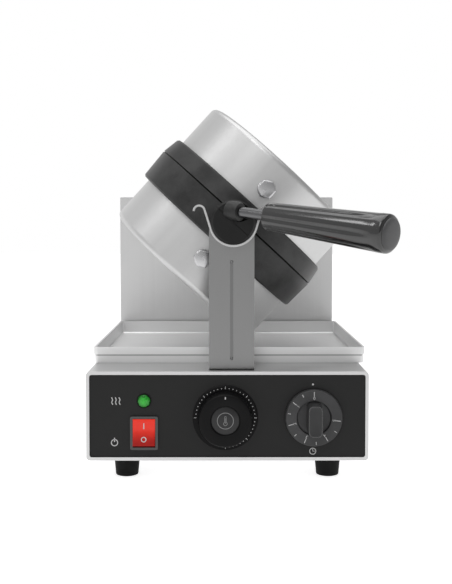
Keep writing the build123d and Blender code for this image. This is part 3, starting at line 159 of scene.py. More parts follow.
class Finish:
    """A material, made node by node."""

    def __init__(self, name, colour, roughness, metallic=0.0, **plain):
        self.material = bpy.data.materials.new(name)
        self.material.use_nodes = True
        self.material.diffuse_color = (*colour, 1.0)
        self.tree = self.material.node_tree
        self.shader = self.tree.nodes["Principled BSDF"]
        self.set("Base Color", (*colour, 1.0))
        self.set("Roughness", roughness)
        self.set("Metallic", metallic)
        for socket, value in plain.items():
            self.set(socket.replace("_", " "), value)

    def set(self, socket, value):
        self.fill(self.shader.inputs[socket], value)

    def fill(self, socket, value):
        """Links a value to a socket, or puts a constant on it."""
        if isinstance(value, Value):
            self.tree.links.new(value.socket, socket)
        else:
            socket.default_value = value

    def node(self, kind, settings=None, inputs=None, output=0):
        made = self.tree.nodes.new(kind)
        for name, value in (settings or {}).items():
            setattr(made, name, value)
        for name, value in (inputs or {}).items():
            self.fill(made.inputs[name], value)
        return Value(self, made.outputs[output])

    def vectors(self, operation, *terms, output=0):
        """A Vector Math node."""
        settings = {"operation": operation}
        return self.node("ShaderNodeVectorMath", settings, dict(enumerate(terms)), output)

    def rotated(self, vector, turn):
        inputs = {"Vector": vector, "Rotation": turn}
        return self.node("ShaderNodeMapping", {"vector_type": "POINT"}, inputs)

    def place(self, turn=(0, 0, 0), stretch=(1, 1, 1), centre=(0, 0, 0)):
        """Object coordinates, moved to a centre, turned and then stretched."""
        point = self.node("ShaderNodeTexCoord", output="Object")
        moved = self.vectors("SUBTRACT", point, centre)
        return self.vectors("MULTIPLY", self.rotated(moved, turn), stretch)

    def noise(self, where, detail, roughness=0.5):
        inputs = {"Vector": where, "Scale": 1.0, "Detail": detail, "Roughness": roughness}
        return self.node("ShaderNodeTexNoise", inputs=inputs)

    def even_noise(self, scale, detail, roughness=0.5):
        """Noise that is equally fine in every direction."""
        return self.noise(self.place(stretch=(scale,) * 3), detail, roughness)

    def mix(self, share, one, other):
        """Colour one where share is 0 and the other where it is 1."""
        inputs = {0: share, 6: one, 7: other}
        return self.node("ShaderNodeMix", {"data_type": "RGBA"}, inputs, output=2)

    def bump(self, height, strength, depth):
        inputs = {"Height": height, "Strength": strength, "Distance": depth}
        self.set("Normal", self.node("ShaderNodeBump", inputs=inputs))

    def part(self, vector, letter):
        """The X, Y or Z of a vector."""
        return self.node("ShaderNodeSeparateXYZ", inputs={"Vector": vector}, output=letter)

    def facing(self, letter, turn=(0, 0, 0)):
        """How much a surface faces along one direction, 0 to 1."""
        flat = self.node("ShaderNodeTexCoord", output="Normal")
        return abs(self.part(self.rotated(flat, turn), letter))

    def worn_edge(self, width):
        """1 along sharp edges, from how far a rounded normal leaves the face's own. Some finishes
        use it for worn edges, others for a painted highlight along the edges.
        """
        soft = self.node("ShaderNodeBevel", {"samples": 4}, {"Radius": width})
        hard = self.node("ShaderNodeNewGeometry", output="True Normal")
        same = self.vectors("DOT_PRODUCT", soft, hard, output="Value")
        return (1 - same).between(0.02, 0.2)


def grey(level):
    return (level, level, level, 1.0)


def shade(colour, factor, lift=0.0):
    """A colour made darker or lighter, with an alpha of 1."""
    return (*(min(1.0, part * factor + lift) for part in colour), 1.0)


def brushed_steel(
    name, level, roughness, along="X", turn=(0, 0, 0), centre=(0, 0, 0), painted_shade=None, dull=None
):
    """Steel sheet with brush lines along one direction, and faint broad streaks beside them.

    Faces across that direction have their lines along another. The shade function says where shade
    is painted on the steel as a darker grey, and the dull one where the steel has lost its metallic
    shine.
    """
    finish = Finish(name, (level, level, level * 1.01), roughness, 1.0)
    fine, broad, slow = 2400.0, 160.0, 5.0
    other = "Y" if along == "X" else "X"
    end_face = finish.facing(along, turn).between(0.6, 0.8)

    def lines(direction, scale):
        stretch = tuple(slow if letter == direction else scale for letter in "XYZ")
        return finish.noise(finish.place(turn, stretch, centre), 2.0)

    fine_lines = lines(along, fine) * (1 - end_face) + lines(other, fine) * end_face
    broad_lines = lines(along, broad) * (1 - end_face) + lines(other, broad) * end_face
    cloud = finish.noise(finish.place(turn, (9, 9, 9), centre), 3.0)
    edge = finish.worn_edge(0.0006)
    tone = (fine_lines - 0.5) * 0.10 + (broad_lines - 0.5) * 0.16 + (cloud - 0.5) * 0.07
    share = (tone + 0.5 + edge * 0.25).between(0.0, 1.0)
    steel = finish.mix(share, grey(level * 0.86), grey(min(1.0, level * 1.14)))
    # Where shade is painted, the steel is mixed towards a dark grey
    finish.set("Base Color", finish.mix(painted_shade(finish), steel, grey(level * 0.3)) if painted_shade else steel)
    if dull:
        finish.set("Metallic", 1 - dull(finish) * (0.55 + cloud * 0.3))
    uneven = (broad_lines - 0.5) * 0.12 + (cloud - 0.5) * 0.1
    finish.set("Roughness", uneven + roughness - edge * 0.08)
    finish.bump(fine_lines * 0.6 + broad_lines * 0.4, 0.12, 0.0002)
    return finish.material


# Where shade is painted and where a film lies. These sizes are in metres, like the coordinates they
# stand beside


def bead_dirt(finish):
    """1 in the pressed bead of the front support, where shade is painted as a darker grey."""
    bead_middle = facing_front(support_x, -160.0, sum(bead_ends) / 2)
    where = finish.place(centre=tuple(bead_middle.to_translation()))
    in_width = finish.part(where, "X").near(0.0009, 0.0019)
    in_height = finish.part(where, "Z").near(0.0455, 0.0465)
    behind = finish.part(where, "Y").between(0.0009, 0.0012)
    return in_width * in_height * (1 - behind) * 0.3


def hem_dirt(finish):
    """1 under the hem of the tray, on its outside, where the hem's shadow is painted as a dark
    line.
    """
    where = finish.place(centre=tuple(standing(2.0, 4.0, 113.0).to_translation()))
    line = (finish.part(where, "Z") + 0.0008).near(0.0003, 0.0011)
    out_x = abs(finish.part(where, "X")).between(0.1302, 0.1306)
    out_y = abs(finish.part(where, "Y")).between(0.1202, 0.1206)
    return line * out_x.highest(out_y) * 0.7


def tray_floor_film(finish):
    """1 on the floor of the tray, where fat and washing have left a pale dull film."""
    low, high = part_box("drip_tray")
    where = finish.place(centre=((low.x + high.x) / 2, (low.y + high.y) / 2, low.z + mm))
    in_width = finish.part(where, "X").near(0.127, 0.129)
    in_depth = finish.part(where, "Y").near(0.117, 0.119)
    return in_width * in_depth * finish.part(where, "Z").near(0.0003, 0.0012)


def seam_dirt(finish):
    """1 where shade is painted: in the seams across the split journal and round the ring, and on
    the journal's end.
    """
    where = finish.place(pan_turn, centre=tuple(pan_centre))
    height = finish.part(where, "Z")
    reach = finish.part(where, "Y")
    journal = height.near(0.0004, 0.0008) * (reach < -0.1035)
    ring = (height - 0.0063).near(0.0004, 0.0011) * 0.8
    # Painted shade makes the journal's end dark
    journal_end_shade = (1 - reach.between(-0.1085, -0.1055)) * 0.85
    return ring.highest(journal.highest(journal_end_shade))


def cast_plate(name, seams=True):
    """Dark coated casting: fine sandy grain, soft patches, bare metal at the sharp edges and,
    unless left out, painted shade in the seams and on the journal's end.
    """
    finish = Finish(name, (0.03, 0.03, 0.031), 0.4, 0.3)
    grain = finish.even_noise(1500, 2.0)
    patch = finish.even_noise(24, 4.0, 0.6)
    edge = finish.worn_edge(0.0008)
    share = (patch * 0.8 + grain * 0.2).between(0.32, 0.68)
    base = finish.mix(share, grey(0.012), grey(0.05))
    worn = finish.mix(edge * patch * 0.8, base, grey(0.13))
    # Painted shade darkens the seams and the journal's end
    finish.set("Base Color", finish.mix(seam_dirt(finish), worn, grey(0.002)) if seams else worn)
    finish.set("Roughness", 0.29 + patch * 0.2 + grain * 0.06 - edge * 0.06)
    finish.bump(grain * 0.5 + patch * 0.5, 0.16, 0.0004)
    return finish.material


def fascia_paint():
    """Satin black paint with a fine texture."""
    finish = Finish("fascia_paint", (0.01, 0.01, 0.0105), 0.5, Specular_IOR_Level=0.35)
    grain = finish.even_noise(900, 2.0)
    cloud = finish.even_noise(14, 2.0)
    finish.set("Base Color", finish.mix(cloud, grey(0.007), grey(0.012)))
    finish.set("Roughness", 0.44 + grain * 0.12 + cloud * 0.06)
    finish.bump(grain, 0.08, 0.0002)
    return finish.material


def moulded(
    name,
    colour,
    roughness,
    coat=0.0,
    coarse=1.0,
    bump=0.06,
    shine=0.5,
    pale_tone_and_highlight=1.25,
    rim=0.0,
    rim_width=0.0008,
):
    """Moulded plastic or rubber with a fine grain, rubbed smoother at its edges.

    The paler tone says how much paler the cloudy patches and the edges are, the paler edges being a
    painted highlight, and rim the grey of a stronger painted highlight along the edges, if they
    have one.
    """
    plain = {"Coat_Weight": coat, "Coat_Roughness": 0.12, "Specular_IOR_Level": shine}
    finish = Finish(name, colour, roughness, **plain)
    grain = finish.even_noise(1100 / coarse, 2.0)
    cloud = finish.even_noise(30, 3.0)
    edge = finish.worn_edge(rim_width)
    # The edges are painted paler, as a highlight
    share = (cloud * 0.8 + edge * 0.4).between(0.0, 1.0)
    base = finish.mix(share, shade(colour, 0.8), shade(colour, pale_tone_and_highlight, 0.004))
    finish.set("Base Color", finish.mix(edge, base, grey(rim)) if rim else base)
    uneven = (cloud - 0.5) * 0.12 + (grain - 0.5) * 0.06
    finish.set("Roughness", roughness + uneven - edge * 0.06)
    finish.bump(grain, bump, 0.0002)
    return finish.material


def plated(name, colour, roughness):
    """Bright plated or turned metal with faint machining marks and handling smears."""
    finish = Finish(name, colour, roughness, 1.0)
    marks = finish.even_noise(700, 3.0)
    smear = finish.even_noise(60, 3.0)
    edge = finish.worn_edge(0.0004)
    share = (smear * 0.8 + edge * 0.5).between(0.1, 0.8)
    finish.set("Base Color", finish.mix(share, shade(colour, 0.82), shade(colour, 1.0)))
    finish.set("Roughness", roughness + (marks - 0.5) * 0.1 + (smear - 0.5) * 0.14)
    finish.bump(marks, 0.05, 0.0001)
    return finish.material


def mineral_wool():
    """Pale wool with fibres in flat layers."""
    finish = Finish("mineral_wool", (0.62, 0.6, 0.52), 0.95)
    fibre = finish.noise(finish.place(stretch=(300, 300, 1500)), 5.0, 0.7)
    tuft = finish.noise(finish.place(stretch=(90, 90, 200)), 4.0)
    dark, pale = (0.4, 0.38, 0.3, 1), (0.75, 0.73, 0.66, 1)
    finish.set("Base Color", finish.mix(fibre.between(0.3, 0.7), dark, pale))
    finish.set("Roughness", 0.9 + tuft * 0.1)
    finish.bump(fibre * 0.5 + tuft * 0.5, 0.5, 0.001)
    return finish.material


def lamp_green():
    """A lit green lens with small cells under its surface."""
    plain = {"Coat_Weight": 0.12, "Coat_Roughness": 0.05, "Emission_Strength": 0.14}
    finish = Finish("lamp_green", (0.03, 0.5, 0.08), 0.12, **plain)
    where = finish.place(centre=tuple(facing_front(lamp[0], 0, lamp[1]).to_translation()))
    inputs = {"Vector": where, "Scale": 480.0}
    cells = finish.node("ShaderNodeTexVoronoi", {"feature": "F1"}, inputs)
    flat = finish.vectors("MULTIPLY", where, (1, 0, 1))
    distance = finish.vectors("LENGTH", flat, output="Value")
    middle = 1 - distance.between(0.0015, 0.0066)
    spark = cells.between(0.15, 0.5)
    lit = middle * 0.6 + spark * 0.4 - 0.1
    glow = middle * (0.55 + spark * 0.45)
    finish.set("Base Color", finish.mix(lit, (0.0, 0.05, 0.004, 1), (0.025, 0.5, 0.03, 1)))
    finish.set("Emission Color", finish.mix(glow, (0, 0.03, 0.002, 1), (0.04, 0.6, 0.05, 1)))
    finish.bump(cells, 0.35, 0.0006)
    return finish.material


def rocker_red():
    """Glossy red plastic that glows more towards its top and is darker towards its bottom."""
    plain = {"Coat_Weight": 0.04, "Coat_Roughness": 0.06, "Emission_Strength": 0.38}
    plain["Specular_IOR_Level"] = 0.3
    finish = Finish("rocker_red", (0.6, 0.03, 0.02), 0.16, **plain)
    where = finish.place(centre=tuple(facing_front(switch[0], 0, switch[1]).to_translation()))
    cloud = finish.even_noise(220, 2.0)
    # Brighter and glowing more towards the top, darker towards the bottom
    glow = finish.part(where, "Z").between(-0.009, 0.006) * 0.8 + cloud * 0.2
    finish.set("Base Color", finish.mix(glow, (0.34, 0.008, 0.006, 1), (0.78, 0.035, 0.02, 1)))
    finish.set("Emission Color", finish.mix(glow, (0.12, 0.0, 0.0, 1), (0.75, 0.03, 0.015, 1)))
    finish.set("Roughness", 0.14 + cloud * 0.08)
    finish.bump(cloud, 0.05, 0.0002)
    return finish.material


def print_ink(name, level):
    """Matt ink of a printed mark."""
    finish = Finish(name, (level, level, level), 0.55)
    cloud = finish.even_noise(900, 2.0)
    finish.set("Base Color", finish.mix(cloud, grey(level * 0.8), grey(level * 1.1)))
    finish.set("Roughness", 0.5 + cloud * 0.1)
    return finish.material


sheet_steel = brushed_steel("sheet_steel", 0.68, 0.34)
saddle_steel = brushed_steel("saddle_steel", 0.72, 0.32)
tray_steel = brushed_steel("tray_steel", 0.88, 0.44, painted_shade=hem_dirt, dull=tray_floor_film)
column_steel = brushed_steel("column_steel", 0.74, 0.44, "Z")
support_steel = brushed_steel("support_steel", 0.31, 0.5, "Z", painted_shade=bead_dirt)
cover_steel = brushed_steel("cover_steel", 0.66, 0.44, "Z", pan_turn, tuple(pan_centre))
plated_steel = plated("plated_steel", (0.66, 0.66, 0.67), 0.28)
rod_steel = plated("rod_steel", (0.18, 0.18, 0.185), 0.24)
casting = cast_plate("cast_plate")
boss_casting = cast_plate("boss_casting", seams=False)
fascia = fascia_paint()
rubber = moulded("rubber", (0.006, 0.006, 0.006), 0.6, coarse=1.6, bump=0.12, shine=0.2)
knob_plastic = moulded("knob_plastic", (0.003, 0.003, 0.0033), 0.44, shine=0.16)
grip_plastic = moulded("grip_plastic", (0.003, 0.003, 0.003), 0.18, coat=1.0, bump=0.02)
# The dial's cloudy patches and its edges, a painted highlight, are much paler
dial_plastic = moulded("dial_plastic", (0.034, 0.034, 0.035), 0.4, shine=0.4, pale_tone_and_highlight=3.0)
# A pale grey painted along the bar's edges, as a highlight
bar_edge_highlight = {"rim": 0.2, "rim_width": 0.0016}
bar_plastic = moulded("bar_plastic", (0.03, 0.03, 0.031), 0.4, shine=0.4, pale_tone_and_highlight=2.0, **bar_edge_highlight)
dish_plastic = moulded("dish_plastic", (0.019, 0.019, 0.02), 0.34, shine=0.45)
cap_plastic = moulded("cap_plastic", (0.085, 0.085, 0.087), 0.36)
inner_plastic = moulded("inner_plastic", (0.06, 0.06, 0.065), 0.5)
block_plastic = moulded("block_plastic", (0.6, 0.6, 0.56), 0.45)
bronze = plated("bronze", (0.62, 0.4, 0.18), 0.32)
wool = mineral_wool()
lens_green = lamp_green()
red = rocker_red()
white_print = print_ink("white_print", 0.76)
grey_print = print_ink("grey_print", 0.3)

# Every CAD node gets its finish. Those without one here are plated steel
finishes = {
    "base_shell": sheet_steel,
    "bottom_plate": sheet_steel,
    "drip_tray": tray_steel,
    "front_panel": fascia,
    "front_support": support_steel,
    "saddle": saddle_steel,
    "rear_housing": column_steel,
    "rear_cover": column_steel,
    "lower_cover": cover_steel,
    "upper_cover": cover_steel,
    "lower_casting": casting,
    "upper_casting": casting,
    "lower_insulation": wool,
    "upper_insulation": wool,
    "feet": rubber,
    "bearing_bush": bronze,
    "rear_shaft": rod_steel,
    "hinge_pins": rod_steel,
    "handle_rod": rod_steel,
    "handle_grip": grip_plastic,
    "handle_end_cap": cap_plastic,
    "thermostat_knob": knob_plastic,
    "thermostat_scale": knob_plastic,
    "timer_knob": dial_plastic,
    "switch_housing": grip_plastic,
    "rocker": red,
    "lamp_lens": lens_green,
    "lamp_body": inner_plastic,
    "lamp_nut": inner_plastic,
    "thermostat_body": inner_plastic,
    "timer_body": inner_plastic,
    "cable_gland": inner_plastic,
    "gland_nut": inner_plastic,
    "terminal_block": block_plastic,
}
for name, node in nodes.items():
    node.data.materials.clear()
    node.data.materials.append(finishes.get(name, plated_steel))


# Modelling helpers. Their sizes are in millimetres


def start(kind, name, place, **size):
    """Adds a primitive at its place and opens it with everything selected."""
    bpy.ops.object.select_all(action="DESELECT")
    add = getattr(bpy.ops.mesh, f"primitive_{kind}_add")
    add(location=place.to_translation(), rotation=place.to_euler(), **size)
    piece = bpy.context.object
    piece.name = piece.data.name = name
    bpy.ops.object.mode_set(mode="EDIT")
    return piece


def pick(piece, kind, test):
    """Selects the faces, edges or points of the open piece that pass the test."""
    bpy.ops.mesh.select_mode(type=kind)
    bpy.ops.mesh.select_all(action="DESELECT")
    mesh = bmesh.from_edit_mesh(piece.data)
    for element in {"FACE": mesh.faces, "EDGE": mesh.edges, "VERT": mesh.verts}[kind]:
        element.select_set(bool(test(element)))
    bmesh.update_edit_mesh(piece.data)


def pick_faces(piece, test):
    """Picks faces by their middle and normal."""
    pick(piece, "FACE", lambda face: test(face.calc_center_median() / mm, face.normal))


def pick_edges(piece, test):
    """Picks edges by their two ends."""
    pick(piece, "EDGE", lambda edge: test(*(vertex.co / mm for vertex in edge.verts)))


def pick_points(piece, test):
    """Picks points by their place."""
    pick(piece, "VERT", lambda vertex: test(vertex.co / mm))


def pull(height):
    """Extrudes what is selected along the piece's local z."""
    bpy.ops.mesh.extrude_region_move(
        TRANSFORM_OT_translate={"value": (0, 0, height * mm), "orient_type": "LOCAL"}
    )


def shift(height):
    """Moves what is selected along the piece's local z."""
    bpy.ops.transform.translate(value=(0, 0, height * mm), orient_type="LOCAL")


def widen(x, y=None, z=1.0):
    """Scales what is selected, by x in both directions if y isn't given."""
    bpy.ops.transform.resize(value=(x, x if y is None else y, z), orient_type="LOCAL")


def turned(name, place, rings, segments=64):
    """A turned piece from rings of (radius, height) along its local z, closed at both ends."""
    radius, height = rings[0]
    foot = place @ Matrix.Translation((0, 0, height * mm))
    size = {"vertices": segments, "radius": radius * mm, "fill_type": "NGON"}
    piece = start("circle", name, foot, **size)
    for next_radius, next_height in rings[1:]:
        pull(next_height - height)
        widen(next_radius / radius)
        radius, height = next_radius, next_height
    return piece


def rounded(radius, height, corner, steps=4):
    """Rings round an outer edge, from its side to its face."""
    angles = [pi / 2 * step / steps for step in range(steps + 1)]
    return [(radius - corner * (1 - cos(a)), height - corner * (1 - sin(a))) for a in angles]


def finished(piece, finish=None, smooth=35.0, bevel=0.0):
    """Closes the open piece: normals outward, edges rounded, and its place put into its mesh."""
    bpy.ops.mesh.select_all(action="SELECT")
    bpy.ops.mesh.normals_make_consistent(inside=False)
    bpy.ops.object.mode_set(mode="OBJECT")
    bpy.ops.object.transform_apply(location=True, rotation=True, scale=True)
    if bevel:
        edges = piece.modifiers.new("edges", "BEVEL")
        edges.width = bevel * mm
        edges.segments = 3
        edges.limit_method = "ANGLE"
        edges.angle_limit = radians(35)
        bpy.ops.object.modifier_apply(modifier="edges")
    bpy.ops.object.shade_smooth_by_angle(angle=radians(smooth))
    piece.data.materials.clear()
    if finish:
        piece.data.materials.append(finish)
    return piece


def belong(piece, body, slot, *replaced):
    """Fixes a finished piece to its body, in the place of the nodes it stands for."""
    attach(piece, body)
    if replaced:
        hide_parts(*replaced)
    return piece


def close(piece, body, finish, slot, *replaced, smooth=35.0, bevel=0.0):
    """Finishes the open piece and fixes it to its body."""
    return belong(finished(piece, finish, smooth, bevel), body, slot, *replaced)


def join(pieces, name):
    """Joins finished pieces into the first."""
    bpy.ops.object.select_all(action="DESELECT")
    for piece in pieces:
        piece.select_set(True)
    bpy.context.view_layer.objects.active = pieces[0]
    if len(pieces) > 1:
        bpy.ops.object.join()
    pieces[0].name = pieces[0].data.name = name
    return pieces[0]


def copies(model, places):
    """Copies of a finished model, each with its own mesh at its place. The model itself goes."""
    made = []
    for place in places:
        piece = bpy.data.objects.new(model.name, model.data.copy())
        bpy.context.scene.collection.objects.link(piece)
        piece.data.transform(place)
        made.append(piece)
    bpy.data.objects.remove(model)
    return made


def repeated(name, model, places, body, slot, *replaced):
    """One piece from copies of a model at their places."""
    return belong(join(copies(model, places), name), body, slot, *replaced)


# Printed marks: thin plates that lie on the surface, modelled at the origin
print_height = 0.12
origin = Matrix()


def flat_ring(radius, width, segments=40):
    size = {"vertices": segments, "radius": radius * mm, "fill_type": "NGON"}
    piece = start("circle", "ring", origin, **size)
    bpy.ops.mesh.inset(thickness=width * mm)
    bpy.ops.mesh.delete(type="ONLY_FACE")
    bpy.ops.mesh.select_all(action="SELECT")
    pull(print_height)
    return finished(piece)


def bar(width, height, thickness=print_height):
    piece = start("plane", "bar", origin, size=1.0)
    widen(width * mm, height * mm)
    pull(thickness)
    return finished(piece)


def dot(radius):
    return finished(turned("dot", origin, [(radius, 0), (radius, print_height)], 12))


def numeral(text, height):
    size_per_height = 1.4
    bpy.ops.object.select_all(action="DESELECT")
    bpy.ops.object.text_add()
    piece = bpy.context.object
    piece.data.body = text
    piece.data.align_x = "CENTER"
    piece.data.align_y = "CENTER"
    piece.data.size = height * size_per_height * mm
    piece.data.extrude = print_height / 2 * mm
    bpy.ops.object.convert(target="MESH")
    bpy.ops.object.mode_set(mode="EDIT")
    return finished(piece)


def printed(name, body, ink, *marks):
    """Joins the marks of one print. Each is a model with the places of its copies."""
    pieces = [piece for model, places in marks for piece in copies(model, places)]
    whole = join(pieces, name)
    whole.data.materials.append(ink)
    return belong(whole, body, "grey_cap")


def beside(place, x, y):
    """Frame moved over its own plane."""
    return place @ Matrix.Translation((x * mm, y * mm, 0))


def spoke(place, angle, radius):
    """Frame at a radius and an angle, clockwise from a dial's top, with its local y outward."""
    return beside(place @ Matrix.Rotation(-radians(angle), 4, "Z"), 0, radius)


# Thermostat: cap with a shallow dish, over a fixed scale ring
cap_foot, cap_height, dish_height, ring_height = 2.1, 15.0, 13.45, 1.5
cap_place = above_panel(thermostat, cap_foot)
cap_rings = [(24.2, 0), (24.8, 0.8), *rounded(24.3, cap_height, 2.2)]
cap_rings += [(14.4, cap_height), (13.8, 14.9), (13.1, 14.2), (12.8, 13.3), (0.6, 13.2)]
cap = turned("thermostat_cap", cap_place, cap_rings, 96)
close(cap, "thermostat", knob_plastic, "black_plastic", "thermostat_knob")
dish_rings = [(12.6, 13.0), (12.6, 13.3), (12.3, dish_height), (0.6, dish_height)]
close(turned("thermostat_dish", cap_place, dish_rings), "thermostat", dish_plastic, "black_plastic")

ring_rings = [(30.0, 0), (30.1, 0.7), (29.2, ring_height), (25.4, ring_height)]
ring_rings += [(25.2, 1.2), (4.0, 1.2)]
scale_ring = turned("thermostat_ring", above_panel(thermostat), ring_rings, 96)
close(scale_ring, "base", knob_plastic, "black_plastic", "thermostat_scale")

scale_start, scale_end = -90, 180
scale_face = above_panel(thermostat, ring_height)


def on_scale(radius, steps):
    """Places along the thermostat's scale, its first and its last point among them."""
    turn = (scale_end - scale_start) / steps
    return [spoke(scale_face, scale_start + turn * step, radius) for step in range(steps + 1)]


printed(
    "thermostat_scale_print",
    "base",
    white_print,
    (dot(0.45), on_scale(27.2, 36)),
    (bar(0.5, 1.1), on_scale(28.3, 6)),
)
cap_face = above_panel(thermostat, cap_foot + cap_height)
pointer = bar(1.0, 2.0), [spoke(cap_face, 0, 21.0)]
printed("thermostat_pointer", "thermostat", white_print, pointer)
dish_face = above_panel(thermostat, cap_foot + dish_height)
printed(
    "thermostat_print",
    "thermostat",
    grey_print,
    (flat_ring(7.6, 0.6), [dish_face]),
    (flat_ring(1.9, 0.5, 24), [beside(dish_face, 0, -2.6)]),
    (bar(0.45, 4.6), [beside(dish_face, x, 1.2) for x in (-0.8, 0.8)]),
    (bar(0.5, 4.4), [beside(dish_face, 0, -0.2)]),
    (flat_ring(1.0, 0.42, 20), [beside(dish_face, 0, 3.4)]),
)

# Timer: dial with a recess and a bar across it
dial_foot, dial_height, recess_height = 0.6, 5.5, 2.5
dial_rings = [(25.9, 0), (26.3, 0.5), *rounded(26.0, dial_height, 1.0)]
dial_rings += [(16.2, dial_height), (15.8, 5.2), (15.4, 2.8)]
dial_rings += [(15.0, recess_height), (4.0, recess_height)]
dial = turned("timer_dial", above_panel(timer, dial_foot), dial_rings, 96)
close(dial, "timer", dial_plastic, "black_plastic", "timer_knob")

dial_bar = start("cube", "timer_grip", above_panel(timer, 13.0), size=1.0)
widen(13.6 * mm, 29.6 * mm, 20.0 * mm)
pick_edges(dial_bar, lambda a, b: abs(a.z - b.z) > 10)
bpy.ops.mesh.bevel(offset=4.6 * mm, segments=6)
pick_faces(dial_bar, lambda middle, facing: facing.z > 0.9)
widen(0.93, 0.95)
bpy.ops.mesh.inset(thickness=1.5 * mm)
shift(-0.5)
close(dial_bar, "timer", bar_plastic, "black_plastic", bevel=0.7)

dial_face = above_panel(timer, dial_foot + dial_height)


def on_dial(radius, steps):
    """Places at steps of the timer, which run anticlockwise from the top."""
    return [spoke(dial_face, -26.4 * step, radius) for step in steps]


printed(
    "timer_print",
    "timer",
    white_print,
    (bar(0.6, 4.2), on_dial(22.3, range(0, 11, 2))),
    (bar(0.6, 2.6), on_dial(23.1, range(1, 11, 2))),
    *((numeral(str(count), 2.9), on_dial(18.3, [2 * count])) for count in range(6)),
)

# Switch: rocker with a shallow V across it, and its two marks
rocker_length, valley_depth = 24.4, 1.7
rocker_tip, valley_slope = radians(8), radians(8)
rocker_place = above_panel(switch, -3.0) @ Matrix.Rotation(-rocker_tip, 4, "X")
rocker = start("cube", "rocker_cap", rocker_place @ Matrix.Translation((0, 0, 2.6 * mm)), size=1.0)
widen(20.2 * mm, rocker_length * mm, 11.2 * mm)
bpy.ops.mesh.subdivide(number_cuts=5)
row = rocker_length / 6
for count in range(-3, 4):
    pick_points(rocker, lambda p: p.z > 5.5 and abs(p.y - count * row) < 0.1)
    shift(-valley_depth * (1 - abs(count) / 3))
close(rocker, "rocker", red, "red_rocker", "rocker", bevel=0.7)

upper_middle = rocker_place @ Matrix.Translation((0, 6.0 * mm, 7.35 * mm))
lower_middle = rocker_place @ Matrix.Translation((0, -6.2 * mm, 7.38 * mm))
printed(
    "rocker_print",
    "rocker",
    white_print,
    (bar(0.9, 5.2, 0.2), [upper_middle @ Matrix.Rotation(valley_slope, 4, "X")]),
    (flat_ring(2.5, 0.8, 32), [lower_middle @ Matrix.Rotation(-valley_slope, 4, "X")]),
)

# Indicator lamp: domed lens in a thin bezel
lens_rings = [(5.9, 0), (5.9, 1.2), (5.6, 2.1), (4.8, 2.8), (3.5, 3.3), (2.0, 3.55), (0.5, 3.6)]
lens = turned("lamp_dome", above_panel(lamp), lens_rings, 48)
close(lens, "base", lens_green, "green_lens", "lamp_lens", smooth=60)
bezel_rings = [(6.6, 0), (6.6, 0.9), (6.3, 1.3), (5.95, 1.3), (5.9, 0.9), (5.5, 0.9)]
bezel = turned("lamp_bezel", above_panel(lamp), bezel_rings, 48)
close(bezel, "base", knob_plastic, "black_plastic")

# Panel print: a dot above the timer and a plain sign beside each control
panel_face = above_panel((0, 0))
wave_turn = radians(24)
waves = [
    beside(panel_face, -102.6 + column, 77.0 + level) @ Matrix.Rotation(wave_turn * side, 4, "Z")
    for column in (-3.4, 0.0, 3.4)
    for level, side in ((2.2, 1), (0.0, -1), (-2.2, 1))
]
printed(
    "panel_print",
    "base",
    white_print,
    (dot(0.9), [beside(panel_face, 78.7, 92.3)]),
    (bar(0.8, 2.7), waves),
    (flat_ring(3.3, 0.8, 32), [beside(panel_face, -104.0, 38.4)]),
    (bar(0.9, 3.8), [beside(panel_face, -104.0, 41.0)]),
    (flat_ring(3.2, 0.7, 32), [beside(panel_face, 78.7, 30.4)]),
    (bar(0.6, 2.2), [beside(panel_face, 78.7, 31.4)]),
    (bar(2.0, 0.6), [beside(panel_face, 79.5, 30.4)]),
)

# Rubber feet with a collar under the base
foot_rings = [(9.6, 0), (10.5, 0.4), (10.8, 1.2), (12.0, 14.6)]
foot_rings += [(12.7, 15.4), (12.9, 16.4), (12.9, 22.0), (7.0, 22.0)]
foot = finished(turned("foot", origin, foot_rings, 48), rubber)
soles = [standing(x, y, 0) for x, y in foot_places]
repeated("rubber_feet", foot, soles, "base", "rubber_foot", "feet")

# Handle: fluted grip that runs out into a smooth collar, and its end cap
grip_start, grip_length, grip_segments = 40.0, 125.0, 96
# Columns of points from one flute to the next, the first flute's, and how deep those beside it go
flute_spacing, flute_phase = 16, 11
flute_depths = ({0}, 0.1), ({1, flute_spacing - 1}, 0.085), ({2, flute_spacing - 2}, 0.045)
flute_levels = [1.2 + 112.0 * step / 12 for step in range(12)]
grip_rings = [(9.5, 0), (12.1, 0.2), (12.45, 0.6)]
grip_rings += [(12.5 + 3.55 * step / 12, level) for step, level in enumerate(flute_levels)]
grip_rings += [(16.1, 113.6), (16.4, 116.4), *rounded(16.4, grip_length, 3.0)]
grip_rings += [(9.0, grip_length), (5.4, grip_length)]
grip = turned("grip", handle_at(grip_start), grip_rings, grip_segments)


def flute_column(point):
    """The column of points that one of the grip's lies in, counted from the middle of a flute."""
    angle = Vector((point.x, point.y)).angle_signed(Vector((1, 0)))
    return (round(angle / radians(360 / grip_segments)) - flute_phase) % flute_spacing


for step, level in enumerate(flute_levels):
    # The flutes are shallower at the last level, where they run out
    run_out = min(1.0, (12.4 - step) / 2.2)
    middle = tuple(handle_at(grip_start + level).to_translation())
    for columns, depth in flute_depths:
        pick_points(grip, lambda p: abs(p.z - level) < 0.2 and flute_column(p) in columns)
        size = 1 - depth * run_out
        bpy.ops.transform.resize(value=(size, size, 1), orient_type="LOCAL", center_override=middle)
close(grip, "lid", grip_plastic, "black_plastic", "handle_grip", smooth=50)

boss_rings = [(9.2, -6.5), (9.4, 1.0), (8.9, 4.4), (8.0, 6.2), (6.2, 6.6), (5.05, 6.6)]
boss = turned("handle_boss", handle_at(0.0), boss_rings, 48)
close(boss, "lid", boss_casting, "cast_plate", "handle_nut")

